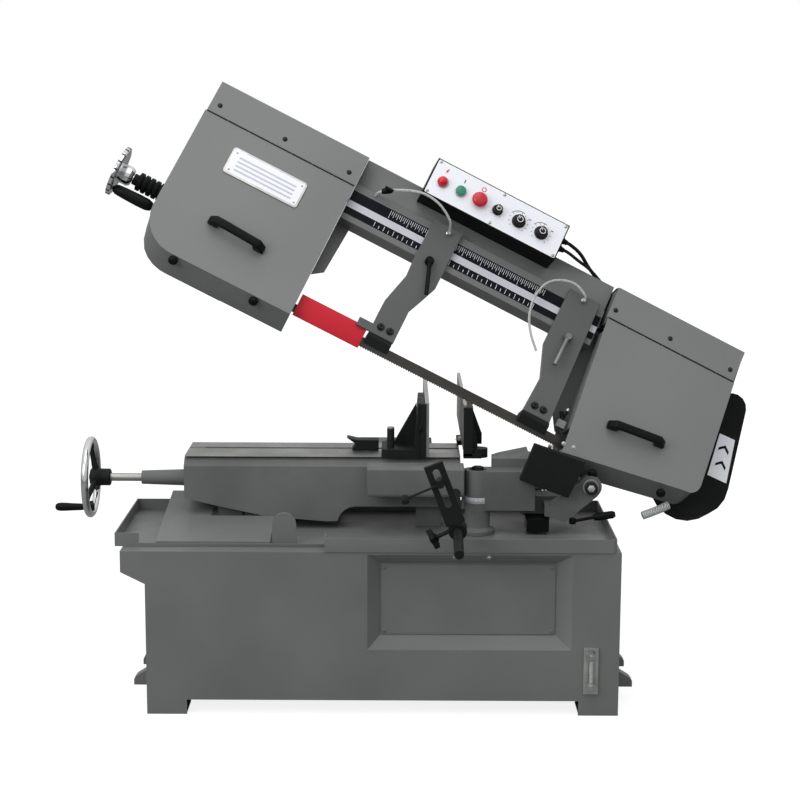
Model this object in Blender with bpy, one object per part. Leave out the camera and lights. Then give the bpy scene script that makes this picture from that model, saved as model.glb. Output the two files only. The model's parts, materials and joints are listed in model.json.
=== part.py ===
"""Horizontal band saw with a swivelling, canted bow, built as separate parts on its joints.

Sizes are in millimetres and are turned into metres when a mesh is made. The machine frame has
X along the saw to the right, Y from the operator's side to the back with Y = 0 in the blade's
cutting plane, and Z up from the floor. The bow frame lies on the head's pivot, raised by the rest
angle and leaned back by the cant: x runs along the bow, y is square to its doors (positive to the
back) and z runs up along the doors from the line of the blade's teeth.
"""
import math

import bmesh
import bpy
from mathutils import Matrix, Vector

MM = 0.001
GAP = 0.3                       # clearance between pieces that touch

# the whole machine is moved so that its box stands centred on the origin
CENTRE_X = 5.4
CENTRE_Y = 54.6

# head
HEAD_PIVOT = (452.0, 0.0, 512.0)
HEAD_RAISED = math.radians(27.0)
CANT = math.radians(27.0)
BLADE_OVER_PIVOT = 41.0
BLADE_WIDTH = 25.4
BLADE_THICK = 1.2

# wheels
WHEEL_R = 155.0
WHEEL_SIDES = 32
WHEEL_Y = 2.0
WHEEL_Z = 11.3 + WHEEL_R
DRIVE_X = 52.0
IDLER_X = -1045.0

# wheel boxes
DOOR_FRONT = -42.0
DOOR_THICK = 3.0
BOX_BACK = 30.0
PAN_DROP = 26.0
SHEET = 3.0
SEAM_Z = 343.0
GUARD_TOP_Z = 428.0
BEAM_TOP_Z = 440.0
LEFT_BOX_X = (-1216.0, -817.0)

# beam
BEAM_X = (-816.4, -137.5)
RAIL_FRONT = -17.0
RAIL_Z = (266.0, 364.0)
ARM_Y = (-30.0, -17.3)

# base and bed
BASE_X = (-586.0, 511.0)
BASE_Y = (-200.0, 200.0)
BASE_TOP = 390.0
LEG_HEIGHT = 35.0
BED_TOP = 568.0
BED_X = (-518.0, 146.0)
BED_Y = (8.0, 200.0)
POST = (186.0, -20.0)
SCREW_Y = 130.0
SCREW_Z = 493.0

# vise
JAW_FACE_X = 70.0
FIXED_FACE_X = 152.0

# length stop: the rod's two ends, and the place of the stop arm's collar on it
STOP_ROD = ((132.0, -62.0, 499.9), (130.0, -408.8, 438.4))
STOP_PLACE = 0.57
STOP_KNOB = (86.0, -273.7, 446.0)

# belt drive: the two pulleys' centres and radii on the bow
PULLEY_BIG = (238.0, 100.0, 62.0)
PULLEY_SMALL = (262.0, 318.0, 24.0)

# feed cylinder: its two pins in X and Z when the bow is at rest
CYLINDER_FOOT = (337.0, 461.0)
CYLINDER_EYE = (412.0, 643.0)
CYLINDER_Y = 122.0

COLOURS = {
    "grey": ((0.150, 0.152, 0.151), 0.45, 0.0),
    "door": ((0.225, 0.228, 0.227), 0.42, 0.0),
    "casting": ((0.105, 0.107, 0.108), 0.5, 0.0),
    "black": ((0.012, 0.014, 0.014), 0.45, 0.0),
    "rubber": ((0.02, 0.02, 0.02), 0.7, 0.0),
    "steel": ((0.42, 0.42, 0.42), 0.32, 1.0),
    "chrome": ((0.72, 0.72, 0.73), 0.12, 1.0),
    "blade": ((0.10, 0.10, 0.11), 0.35, 1.0),
    "red": ((0.60, 0.035, 0.05), 0.4, 0.0),
    "green": ((0.04, 0.25, 0.19), 0.4, 0.0),
    "panel": ((0.66, 0.69, 0.76), 0.4, 0.0),
    "clear": ((0.75, 0.77, 0.78), 0.25, 0.0),
}


# ---------------------------------------------------------------- mesh helpers

def clear_scene():
    for old in list(bpy.data.objects):
        bpy.data.objects.remove(old)


def material(slot):
    found = bpy.data.materials.get(slot)
    if found:
        return found
    colour, roughness, metallic = COLOURS[slot]
    made = bpy.data.materials.new(slot)
    made.use_nodes = True
    shader = made.node_tree.nodes["Principled BSDF"]
    shader.inputs["Base Color"].default_value = (*colour, 1.0)
    shader.inputs["Roughness"].default_value = roughness
    shader.inputs["Metallic"].default_value = metallic
    return made


def empty(name, parent, location, rotation=(0.0, 0.0, 0.0)):
    made = bpy.data.objects.new(name, None)
    bpy.context.collection.objects.link(made)
    made.parent = parent
    made.location = Vector(location) * MM
    made.rotation_euler = rotation
    return made


def add(name, mesh, slot, parent, origin=(0.0, 0.0, 0.0), smooth=35.0):
    """An object from a bmesh in its parent's frame, with its origin moved to a joint's place."""
    bmesh.ops.translate(mesh, verts=mesh.verts, vec=-Vector(origin))
    bmesh.ops.scale(mesh, verts=mesh.verts, vec=(MM, MM, MM))
    bmesh.ops.recalc_face_normals(mesh, faces=mesh.faces)
    data = bpy.data.meshes.new(name)
    mesh.to_mesh(data)
    mesh.free()
    data.materials.append(material(slot))
    data.shade_smooth()
    data.set_sharp_from_angle(angle=math.radians(smooth))
    made = bpy.data.objects.new(name, data)
    bpy.context.collection.objects.link(made)
    made.parent = parent
    made.location = Vector(origin) * MM
    return made


def tool(mesh, parent, target, operation):
    """A hidden helper object that is cut from, or joined to, the target."""
    number = len(target.modifiers)
    helper = add(f"helper_{target.name}_{number}", mesh, "grey", parent)
    helper.hide_render = True
    helper.display_type = "WIRE"
    change = target.modifiers.new(f"{operation.lower()}_{number}", "BOOLEAN")
    change.operation = operation
    change.object = helper
    return helper


def cut(target, mesh, parent):
    return tool(mesh, parent, target, "DIFFERENCE")


def join(target, mesh, parent):
    return tool(mesh, parent, target, "UNION")


def bevel(target, width, segments=1, angle=40.0):
    rounded = target.modifiers.new("edges", "BEVEL")
    rounded.width = width * MM
    rounded.segments = segments
    rounded.limit_method = "ANGLE"
    rounded.angle_limit = math.radians(angle)
    return target


def prism(outline, low, high, axis):
    """An outline extruded along an axis: (x, z) along y, (y, z) along x, (x, y) along z."""
    def point(a, b, along):
        if axis == "y":
            return (a, along, b)
        if axis == "x":
            return (along, a, b)
        return (a, b, along)

    made = bmesh.new()
    first = [made.verts.new(point(a, b, low)) for a, b in outline]
    last = [made.verts.new(point(a, b, high)) for a, b in outline]
    count = len(outline)
    made.faces.new(first)
    made.faces.new(list(reversed(last)))
    for i in range(count):
        k = (i + 1) % count
        made.faces.new((first[i], last[i], last[k], first[k]))
    bmesh.ops.recalc_face_normals(made, faces=made.faces)
    return made


def loft(near, near_y, far, far_y):
    """A solid between two outlines in x and z with the same number of points."""
    made = bmesh.new()
    first = [made.verts.new((x, near_y, z)) for x, z in near]
    last = [made.verts.new((x, far_y, z)) for x, z in far]
    made.faces.new(first)
    made.faces.new(list(reversed(last)))
    for i in range(len(near)):
        k = (i + 1) % len(near)
        made.faces.new((first[i], last[i], last[k], first[k]))
    bmesh.ops.recalc_face_normals(made, faces=made.faces)
    return made


def block(x, y, z):
    return prism([(x[0], z[0]), (x[1], z[0]), (x[1], z[1]), (x[0], z[1])], y[0], y[1], "y")


def turned(profile, centre, direction, sides=16):
    """A (radius, height) outline turned about an axis: closed by end caps if it starts on the axis."""
    made = bmesh.new()
    turn = Vector((0, 0, 1)).rotation_difference(Vector(direction).normalized()).to_matrix().to_4x4()
    place = Matrix.Translation(centre) @ turn
    rings = []
    for radius, height in profile:
        if radius == 0:
            continue
        ring_now = []
        for i in range(sides):
            angle = 2 * math.pi * i / sides
            ring_now.append(made.verts.new(place @ Vector((radius * math.cos(angle),
                                                           radius * math.sin(angle), height))))
        rings.append(ring_now)
    solid = profile[0][0] == 0
    if solid:
        made.faces.new(rings[0])
        made.faces.new(rings[-1])
    pairs = list(zip(rings, rings[1:])) + ([] if solid else [(rings[-1], rings[0])])
    for lower, upper in pairs:
        for i in range(sides):
            k = (i + 1) % sides
            made.faces.new((lower[i], lower[k], upper[k], upper[i]))
    bmesh.ops.recalc_face_normals(made, faces=made.faces)
    return made


def rod(start, end, radius, sides=12):
    length = (Vector(end) - Vector(start)).length
    profile = [(0, 0), (radius, 0), (radius, length), (0, length)]
    return turned(profile, start, Vector(end) - Vector(start), sides)


def ring(centre, direction, outer, inner, length, sides=16):
    return turned([(inner, 0), (outer, 0), (outer, length), (inner, length)], centre, direction, sides)


def arc(centre, radius, start, end, steps):
    """Points on an arc between two angles in degrees."""
    found = []
    for i in range(steps + 1):
        angle = math.radians(start + (end - start) * i / steps)
        found.append((centre[0] + radius * math.cos(angle), centre[1] + radius * math.sin(angle)))
    return found


def smooth_path(points, spacing):
    """Points a given distance apart along a smooth curve through the given points."""
    points = [Vector(p) for p in points]
    padded = [2 * points[0] - points[1], *points, 2 * points[-1] - points[-2]]
    fine = []
    for a, b, c, d in zip(padded, padded[1:], padded[2:], padded[3:]):
        for i in range(24):
            t = i / 24
            fine.append(0.5 * (2 * b + (c - a) * t + (2 * a - 5 * b + 4 * c - d) * t * t
                               + (3 * b - a - 3 * c + d) * t ** 3))
    fine.append(points[-1])
    lengths = [0.0]
    for p, q in zip(fine, fine[1:]):
        lengths.append(lengths[-1] + (q - p).length)
    count = max(2, round(lengths[-1] / spacing))
    even = []
    k = 0
    for i in range(count + 1):
        want = lengths[-1] * i / count
        while k < len(lengths) - 2 and lengths[k + 1] < want:
            k += 1
        span = lengths[k + 1] - lengths[k]
        even.append(fine[k].lerp(fine[k + 1], (want - lengths[k]) / span if span else 0.0))
    return even


def cord(name, points, diameter, slot, parent, sides_level=2, spacing=2.6):
    """A cord as a round curve along a smooth route, with closed ends."""
    route = smooth_path(points, diameter * spacing)
    data = bpy.data.curves.new(name, "CURVE")
    data.dimensions = "3D"
    data.bevel_depth = diameter / 2 * MM
    data.bevel_resolution = sides_level
    data.use_fill_caps = True
    data.materials.append(material(slot))
    line = data.splines.new("POLY")
    line.points.add(len(route) - 1)
    for spot, place in zip(line.points, route):
        spot.co = (*(place * MM), 1.0)
    made = bpy.data.objects.new(name, data)
    bpy.context.collection.objects.link(made)
    made.parent = parent
    return made


def canted(y, z):
    """A bow point's (y, z) from the head frame's (Y, Z), both measured from the head pivot."""
    rise = z - BLADE_OVER_PIVOT
    return (y * math.cos(CANT) - rise * math.sin(CANT), y * math.sin(CANT) + rise * math.cos(CANT))


# ---------------------------------------------------------------- base

def base_cabinet(frame):
    """Folded-steel stand, open underneath, with feet, a sloped front recess and a left wing."""
    left, right = BASE_X
    feet = 93.0
    outline = [(left, 0), (left + feet, 0), (left + feet, LEG_HEIGHT), (right - feet, LEG_HEIGHT),
               (right - feet, 0), (right, 0), (right, BASE_TOP),
               (left - 56, BASE_TOP), (left - 56, 340), (left, 312)]
    cabinet = add("base_cabinet", prism(outline, *BASE_Y, "y"), "grey", frame)
    wall = 4.0
    inside = prism([(left + wall, -5), (right - wall, -5), (right - wall, BASE_TOP - wall),
                    (left + wall, BASE_TOP - wall)], BASE_Y[0] + wall, BASE_Y[1] - wall, "y")
    cut(cabinet, inside, frame)
    cut(cabinet, block((left - 5, right + 5), (-110, 110), (-5, LEG_HEIGHT)), frame)
    pocket = (-74.0, 400.0, 157.0, BASE_TOP - 6)
    depth = 28.0
    join(cabinet, block((pocket[0] - 6, pocket[1] + 6), (BASE_Y[0] + 1, BASE_Y[0] + depth + 5),
                        (pocket[2] - 6, BASE_TOP - 1)), frame)
    recess = bmesh.new()
    front = [(pocket[0], pocket[2]), (pocket[1], pocket[2]), (pocket[1], pocket[3]), (pocket[0], pocket[3])]
    inset = [(-44.0, 186.0), (364.0, 186.0), (364.0, 358.0), (-44.0, 358.0)]
    near = [recess.verts.new((x, BASE_Y[0] - 0.5, z)) for x, z in front]
    far = [recess.verts.new((x, BASE_Y[0] + depth, z)) for x, z in inset]
    recess.faces.new(near)
    recess.faces.new(far)
    for i in range(4):
        k = (i + 1) % 4
        recess.faces.new((near[i], near[k], far[k], far[i]))
    cut(cabinet, recess, frame)
    for side, edge in ((-1, left), (1, right)):
        for y in (-92.0, 62.0):
            gusset = prism([(edge - side, 34), (edge + side * 46, 34), (edge + side * 46, 48),
                            (edge + side * 40, 56), (edge - side, 82)], y, y + 30, "y")
            join(cabinet, gusset, frame)
        for y in (-199.0, 111.0):
            inward = (edge + 1, edge + feet - 1) if side < 0 else (edge - feet + 1, edge - 1)
            join(cabinet, block(inward, (y, y + 88), (0, 5)), frame)
    gland = rod((-430, BASE_Y[1] - 2, 120), (-430, BASE_Y[1] + 24, 120), 15)
    join(cabinet, gland, frame)
    return cabinet


def front_access_panel(frame):
    panel = block((-42.0, 362.0), (BASE_Y[0] + 28 - 2.5, BASE_Y[0] + 28 - GAP), (188.0, 355.0))
    return add("front_access_panel", panel, "grey", frame)


def level_gauge(frame):
    """Coolant sight gauge: a frame with a clear tube between two banjo bolts."""
    x, face = 445.0, BASE_Y[0] - GAP
    body = add("level_gauge", block((x - 17, x + 17), (face - 5, face), (54, 166)), "steel", frame)
    cut(body, block((x - 10, x + 10), (face - 8, face - 2.5), (62, 158)), frame)
    join(body, rod((x, face - 8, 75), (x, face - 8, 145), 6), frame)
    for z in (74, 146):
        join(body, rod((x, face - 2, z), (x, face - 15, z), 8, 6), frame)
    return body


def coolant_tray(frame):
    """Pan over the cabinet with a front lip, a set-back left rim and a sloped chute sheet."""
    low, high = BASE_TOP + GAP, 422.0
    step_x = -172.0
    outline = [(-660, -156), (step_x, -156), (step_x, -203), (492, -203), (500, -195), (500, 204), (-660, 204)]
    tray = add("coolant_tray", prism(outline, low, high, "z"), "grey", frame)
    inner = [(-657, -153), (step_x + 3, -153), (step_x + 3, -200), (491, -200), (497, -194),
             (497, 201), (-657, 201)]
    cut(tray, prism(inner, low + 3, high + 5, "z"), frame)
    cut(tray, block((-604, step_x - 2), (-160, -152.5), (low + 8, high + 5)), frame)
    apron = prism([(-150, low + 1), (-150, low + 11), (6, 426), (6, 422), (-136, low + 1)], -566, -300, "x")
    join(tray, apron, frame)
    chute = prism([(5, 422.3), (5, 425.6), (174, 450), (174, 446)], -566, -453, "x")
    join(tray, chute, frame)
    bracket = prism([(-296, low + 1), (-296, 440), *arc((-268, 440), 28, 180, 0, 8), (-240, low + 1)],
                    -142, -134, "y")
    join(tray, bracket, frame)
    return tray


def bed_casting(frame):
    """Ribbed bed with a deepening front skirt, a hollow underside and two T-slots in its top."""
    left, right = BED_X
    skirt = [(left, 468), (-438, 449), (-320, 424), (-177, 412), *arc((-106, 405), 44, 170, 90, 4),
             (right, 449), (right, BED_TOP), (left, BED_TOP)]
    bed = add("bed_casting", prism(skirt, *BED_Y, "y"), "casting", frame)
    hollow = block((left + 16, right - 14), (BED_Y[0] + 12, BED_Y[1] - 12), (380, BED_TOP - 22))
    cut(bed, hollow, frame)
    join(bed, block((left + 1, right - 1), (BED_Y[1] - 1, 282), (BED_TOP - 26, BED_TOP - 1)), frame)
    cut(bed, block((left - 2, -100), (BED_Y[1] + 6, 290), (BED_TOP - 40, BED_TOP + 2)), frame)
    cut(bed, block((80, right + 2), (BED_Y[1] + 6, 290), (BED_TOP - 40, BED_TOP + 2)), frame)
    slope = prism([(BED_Y[0] - 2, BED_TOP - 22.5), (BED_Y[0] + 30, BED_TOP + 1.5), (BED_Y[0] - 2, BED_TOP + 2)],
                  left - 2, right + 2, "x")
    cut(bed, slope, frame)
    cut(bed, block((left + 40, right + 3), (SCREW_Y - 7, SCREW_Y + 7), (BED_TOP - 40, BED_TOP + 3)), frame)
    for x in (-440.0, 40.0):
        foot = block((x, x + 60), (40, 90), (BASE_TOP + 3 + 2 * GAP, BED_TOP - 20))
        join(bed, foot, frame)
    boss = turned([(0, -30), (26, -30), (21, 0), (17, 118), (0, 118)], (left, SCREW_Y, SCREW_Z), (-1, 0, 0))
    join(bed, boss, frame)
    cut(bed, rod((left + 40, SCREW_Y, SCREW_Z), (left - 130, SCREW_Y, SCREW_Z), 11.0), frame)
    return bed


def swivel_post(frame):
    """Fixed lower half of the column that the saw arm swivels on."""
    foot = turned([(0, 0), (42, 0), (42, 10), (30, 16), (30, 54), (0, 54)],
                  (*POST, BASE_TOP + 3 + 2 * GAP), (0, 0, 1), 20)
    return add("swivel_post", foot, "casting", frame)


def coolant_pump(frame):
    """Coolant pump on the back of the cabinet."""
    place = (300.0, BASE_Y[1] + 50, 0.0)
    body = turned([(0, 150), (30, 150), (44, 165), (44, 300), (36, 318), (0, 318)], place, (0, 0, 1), 16)
    pump = add("coolant_pump", body, "black", frame)
    join(pump, block((262, 338), (BASE_Y[1] + GAP, BASE_Y[1] + 60), (176, 196)), frame)
    join(pump, rod((300, BASE_Y[1] + 50, 152), (300, BASE_Y[1] + 50, 60), 14), frame)
    return pump


# ---------------------------------------------------------------- vise

def movable_jaw(frame):
    """Sliding jaw: upright, foot with a clamp post and a rib."""
    jaw = add("movable_jaw", prism([(33, BED_TOP + GAP), (JAW_FACE_X - 10.6, BED_TOP + GAP),
                                    (JAW_FACE_X - 10.6, 700), (44, 700)], 10, 178, "y"), "black", frame)
    foot = prism([(-44, 20), (-30, 10), (40, 10), (40, 150), (-20, 150), (-44, 120)],
                 BED_TOP + GAP, BED_TOP + 20, "z")
    join(jaw, foot, frame)
    join(jaw, prism([(-20, BED_TOP + 15), (40, BED_TOP + 15), (40, 690)], 80, 92, "y"), frame)
    join(jaw, rod((-22, 44, BED_TOP + 10), (-22, 44, BED_TOP + 66), 9), frame)
    return jaw


def movable_jaw_plate(frame):
    plate = block((JAW_FACE_X - 10, JAW_FACE_X), (10, 440), (BED_TOP + 2, 702))
    return add("movable_jaw_plate", plate, "steel", frame)


def vise_nut(frame):
    """Half nut on the screw, its key through the bed slot and the quick-release pawl on top."""
    nut = add("vise_nut", block((-100, -50), (SCREW_Y - 22, SCREW_Y + 22), (SCREW_Z - 22, SCREW_Z + 22)),
              "black", frame)
    cut(nut, rod((-110, SCREW_Y, SCREW_Z), (-40, SCREW_Y, SCREW_Z), 11.5), frame)
    join(nut, block((-96, -54), (SCREW_Y - 6, SCREW_Y + 6), (SCREW_Z + 20, BED_TOP + 10)), frame)
    pawl = prism([(-130, BED_TOP + 30), (-104, BED_TOP + 24), (-52, BED_TOP + 24), (-52, BED_TOP + GAP),
                  (-118, BED_TOP + GAP), (-108, BED_TOP + 14)], SCREW_Y - 20, SCREW_Y + 20, "y")
    join(nut, pawl, frame)
    return nut


def fixed_jaw(frame):
    """Fixed jaw: an upright behind the steel plate, two sloped ribs and a rounded foot."""
    face, base = FIXED_FACE_X + 8.6, BED_TOP + GAP
    foot_line = [(face, 12), (face + 36, 12), *arc((face + 34, 29), 17, -80, 80, 5), (face, 60)]
    jaw = add("fixed_jaw", prism(foot_line, base, base + 22, "z"), "black", frame)
    join(jaw, block((face + 0.2, face + 14), (9, 178), (base + 0.5, 692)), frame)
    for y, reach in ((24, 26), (150, 42)):
        rib = prism([(face + 10, base + 8), (face + reach, base + 8), (face + reach, base + 34),
                     (face + 10, 688)], y, y + 11, "y")
        join(jaw, rib, frame)
    join(jaw, block((142, face + 12), (170, 250), (base + 0.3, BED_TOP + 12)), frame)
    return jaw


def fixed_jaw_plate(frame):
    plate = block((FIXED_FACE_X, FIXED_FACE_X + 8), (10, 520), (BED_TOP + 14, 698))
    return add("fixed_jaw_plate", plate, "steel", frame)


def vise_screw(frame):
    """Lead screw from the handwheel into the nut."""
    left = BED_X[0]
    profile = [(0, 0), (10, 0), (10, 232), (9, 240), (9, 700), (0, 700)]
    return add("vise_screw", turned(profile, (left - 218, SCREW_Y, SCREW_Z), (1, 0, 0), 14), "steel", frame,
               (left, SCREW_Y, SCREW_Z))


def vise_handwheel(frame):
    """Chromed handwheel with three dished spokes and a hub."""
    centre_x, radius, tube = -762.0, 91.0, 9.0
    rim = bmesh.new()
    sides, around = 28, 8
    rows = []
    for i in range(sides):
        a = 2 * math.pi * i / sides
        row = []
        for k in range(around):
            b = 2 * math.pi * k / around
            reach = radius + tube * math.cos(b)
            row.append(rim.verts.new((centre_x + tube * math.sin(b), SCREW_Y + reach * math.cos(a),
                                      SCREW_Z + reach * math.sin(a))))
        rows.append(row)
    for i in range(sides):
        for k in range(around):
            rim.faces.new((rows[i][k], rows[(i + 1) % sides][k],
                           rows[(i + 1) % sides][(k + 1) % around], rows[i][(k + 1) % around]))
    wheel = add("vise_handwheel", rim, "chrome", frame, (centre_x, SCREW_Y, SCREW_Z))
    hub = turned([(10.3, -2), (23, -2), (23, 24), (10.3, 24)], (centre_x + 4, SCREW_Y, SCREW_Z), (1, 0, 0), 14)
    join(wheel, hub, frame)
    for i in range(3):
        a = math.radians(90 + 120 * i)
        start = (centre_x + 12, SCREW_Y + 16 * math.cos(a), SCREW_Z + 16 * math.sin(a))
        end = (centre_x, SCREW_Y + 90 * math.cos(a), SCREW_Z + 90 * math.sin(a))
        join(wheel, rod(start, end, 7, 8), frame)
    boss = (centre_x, SCREW_Y + 62 * math.cos(math.radians(-90)), SCREW_Z + 70 * math.sin(math.radians(-90)))
    join(wheel, rod(boss, (centre_x - 14, boss[1], boss[2] - 4), 9, 10), frame)
    join(wheel, rod(boss, (centre_x, boss[1], SCREW_Z - 90), 7, 8), frame)
    return wheel


def crank_handle(frame):
    profile = [(0, 0), (6, 0), (8, 8), (9.5, 40), (10.5, 60), (8, 72), (0, 74)]
    centre = (-762.0 - 16 - GAP, SCREW_Y, SCREW_Z - 76)
    return add("crank_handle", turned(profile, centre, (-1, 0, 0), 12), "black", frame, centre)


# ---------------------------------------------------------------- swivel arm

def swivel_arm(frame):
    """Casting that turns on the post and carries the bow's pivot in a fork."""
    px, py = POST
    hub = turned([(0, 448), (30, 448), (30, 548), (0, 548)], (px, py, 0), (0, 0, 1), 24)
    arm = add("swivel_arm", hub, "casting", frame, (px, py, 0))
    link = prism([(px + 10, -44), (236, -44), (244, 10), (244, 60), (px + 30, 60), (px + 4, 4)],
                 452, 520, "z")
    join(arm, link, frame)
    join(arm, block((px + 14, 321), (-46, 16), (453, 547)), frame)
    plan = [(222, 9), (322, 9), (322, 96), (314, 102), (314, 162), (242, 90), (222, 60)]
    join(arm, prism(plan, 450, BED_TOP, "z"), frame)
    saddle = [(230, 450), (270, 448), (300, 428), (392, 427), (430, 452), (430, 476), (330, 476),
              (300, 500), (230, 500)]
    join(arm, prism(saddle, 10, 76, "y"), frame)
    x, _, z = HEAD_PIVOT
    for y in ((-50, -28), (68, 86)):
        ear = prism([(x - 95, 439), (x - 60, 426), (x + 16, 489), *arc((x, z), 27, -40, 150, 8),
                     (x - 95, 470)], y[0], y[1], "y")
        join(arm, ear, frame)
    join(arm, block((345, 392), (-49, 30), (440, 468)), frame)
    join(arm, block((302, 356), (-42, 20), (400, 432)), frame)
    foot_x, foot_z = CYLINDER_FOOT
    join(arm, rod((foot_x, CYLINDER_Y + 12, foot_z), (foot_x, 70, foot_z), 8), frame)
    cut(arm, rod((x, -60, z), (x, 95, z), 12.4, 20), frame)
    return arm


def outfeed_ledge(frame):
    """Work support in front of the blade, fixed to the arm's hub."""
    px, py = POST
    outline = [(-58, 488), (-10, 488), (-10, 561), (-52, 561), (-60, 553), (-60, 494)]
    ledge = add("outfeed_ledge", prism(outline, -77, 152, "x"), "casting", frame, (px, py, 0))
    cut(ledge, rod((px, py, 470), (px, py, 580), 30.4, 24), frame)
    return ledge


def head_pivot_shaft(frame):
    x, _, z = HEAD_PIVOT
    profile = [(0, -62), (9, -62), (11, -58), (11, -54), (19, -54), (19, -50.3), (12, -50.3), (12, 100), (0, 100)]
    return add("head_pivot_shaft", turned(profile, (x, 0, z), (0, 1, 0), 20), "steel", frame, (x, 0, z))


def swivel_lock_lever(frame):
    """Lever under the arm's front ear that locks the swivel: hub, bar and grip."""
    x, y, top = 412.0, -38.0, 434.0
    lever = add("swivel_lock_lever", rod((x, y, top - 14), (x, y, top), 8), "black", frame, (x, y, top))
    join(lever, rod((x, y, top - 8), (x + 56, y, top + 3), 4, 8), frame)
    grip = turned([(0, 0), (8, 0), (10, 12), (9.5, 46), (6, 52), (0, 52)], (x + 50, y, top + 2),
                  (1, 0, 0.15), 10)
    join(lever, grip, frame)
    return lever


def stop_rod(frame):
    """Bar for the length stop: it reaches forward from the ledge."""
    return add("stop_rod", rod(STOP_ROD[0], STOP_ROD[1], 11, 14), "steel", frame, STOP_ROD[0])


def stop_arm(frame):
    """Slotted stop arm that turns and slides on the rod, with its thrust screw and ball lever."""
    start, end = Vector(STOP_ROD[0]), Vector(STOP_ROD[1])
    centre = start.lerp(end, STOP_PLACE)
    lean = math.radians(21)
    collar = ring(centre, end - start, 21, 12.2, 28, 16)
    arm = add("stop_arm", collar, "black", frame, centre)

    def along(across, up, y):
        return (centre.x - up * math.sin(lean) + across * math.cos(lean), y,
                centre.z + up * math.cos(lean) + across * math.sin(lean))

    def slanted_bar(half_width, low, high, y):
        outline = [(-half_width, low), (half_width, low), (half_width, high), (-half_width, high)]
        points = [along(a, b, 0) for a, b in outline]
        return prism([(a, b) for a, _, b in points], *y, "y")

    front, back = centre.y - 24, centre.y - 10
    join(arm, slanted_bar(22, 13, 158, (front, back)), frame)
    for up in (62.0, 138.0):
        cut(arm, rod(along(0, up, front - 6), along(0, up, back + 6), 8.4, 12), frame)
    cut(arm, slanted_bar(8, 62, 138, (front - 6, back + 6)), frame)
    join(arm, rod(along(0, 112, front - 10), along(0, 112, back + 22), 9.5, 12), frame)
    join(arm, rod(along(0, 112, front - 4), along(-78, 108, front - 4), 2.8, 8), frame)
    ball = turned([(0, -12), (9, -8), (12, 0), (9, 8), (0, 12)], along(-86, 107, front - 4), (1, 0, 0.2), 12)
    join(arm, ball, frame)
    screw = Vector(along(-12, 2, centre.y - 14)).lerp(Vector(STOP_KNOB), 0.12)
    join(arm, rod(screw, STOP_KNOB, 5, 8), frame)
    return arm


def stop_knob(frame):
    """Lobed knob that clamps the stop arm to its rod."""
    centre = STOP_KNOB
    lobes = []
    for i in range(30):
        a = 2 * math.pi * i / 30
        reach = 21 + 4 * math.cos(5 * a)
        lobes.append((reach * math.cos(a), reach * math.sin(a)))
    knob = prism(lobes, GAP, 20, "z")
    turn = Vector((0, 0, 1)).rotation_difference(Vector((-0.87, 0, -0.5))).to_matrix()
    bmesh.ops.rotate(knob, verts=knob.verts, matrix=turn)
    bmesh.ops.translate(knob, verts=knob.verts, vec=centre)
    return add("stop_knob", knob, "black", frame, centre)


# ---------------------------------------------------------------- bow

def bow_beam(bow):
    """Hollow beam between the wheel boxes, with the guide rail along its front and end gussets."""
    back = BOX_BACK + 6
    outline = [(RAIL_FRONT, RAIL_Z[0]), (back, RAIL_Z[0]), (back, BEAM_TOP_Z), (-3, BEAM_TOP_Z),
               (-3, RAIL_Z[1]), (RAIL_FRONT, RAIL_Z[1])]
    beam = add("bow_beam", prism(outline, *BEAM_X, "x"), "grey", bow)
    cut(beam, block((BEAM_X[0] - 5, BEAM_X[1] + 5), (RAIL_FRONT + 4, back - 4), (RAIL_Z[0] + 4, RAIL_Z[1] - 6)),
        bow)
    left_web = [(BEAM_X[0], 120), (-790, 140), (-782, RAIL_Z[0] + 10), (BEAM_X[0], RAIL_Z[0] + 10)]
    join(beam, prism(left_web, back - 8, back - 1, "y"), bow)
    right_web = [(-170, RAIL_Z[0] + 8), (-168, 241), (-109, 2), (-103.4, 2), (-123.6, RAIL_Z[0] + 8)]
    join(beam, prism(right_web, back - 8, back - 1, "y"), bow)
    return beam


def wheel_box(name, bow, outline, inner):
    """Pressed pan around a wheel, open at the front, whose underside drops towards the back."""
    def lowered(points):
        return [(x, z - PAN_DROP * max(0.0, min(1.0, (80 - z) / 60))) for x, z in points]

    front = DOOR_FRONT + DOOR_THICK + GAP
    pan = add(name, loft(outline, front, lowered(outline), BOX_BACK), "grey", bow)
    cut(pan, loft(inner, front - 2, lowered(inner), BOX_BACK - SHEET), bow)
    return pan


def left_wheel_box(bow):
    left, right = LEFT_BOX_X
    top = 424.0
    outline = [(left + 95, -20), (right, -20), (right, top), (left + 3, top), (left + 1, 68),
               *arc((left + 92, 70), 90, 180, 262, 6)]
    inner = [(left + 95, -17), (right - SHEET, -17), (right - SHEET, top - SHEET), (left + 6, top - SHEET),
             (left + 4, 68), *arc((left + 92, 70), 87, 180, 262, 6)]
    pan = wheel_box("left_wheel_box", bow, outline, inner)
    edge = -978.0
    ahead = [canted(5.0, -60.0), canted(5.0, 57.8), canted(90.0, 57.8), canted(90.0, -60.0)]
    cut(pan, prism(ahead, edge, right + 5, "x"), bow)
    top_run = WHEEL_Z + WHEEL_R
    cut(pan, block((right - 10, right + 10), (-34, 26), (top_run - 12, top_run + 14)), bow)
    cut(pan, block((right - 10, right + 10), (-36, 24), (-14, 56)), bow)
    cut(pan, block((IDLER_X - 16, IDLER_X + 26), (BOX_BACK - 8, BOX_BACK + 5), (WHEEL_Z - 16, WHEEL_Z + 16)),
        bow)
    join(pan, block((-1214, -1206), (BOX_BACK - 2, 122), (118, 190)), bow)
    cut(pan, rod((-1225, 90, 153), (-1195, 90, 153), 9.6), bow)
    return pan


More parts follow.
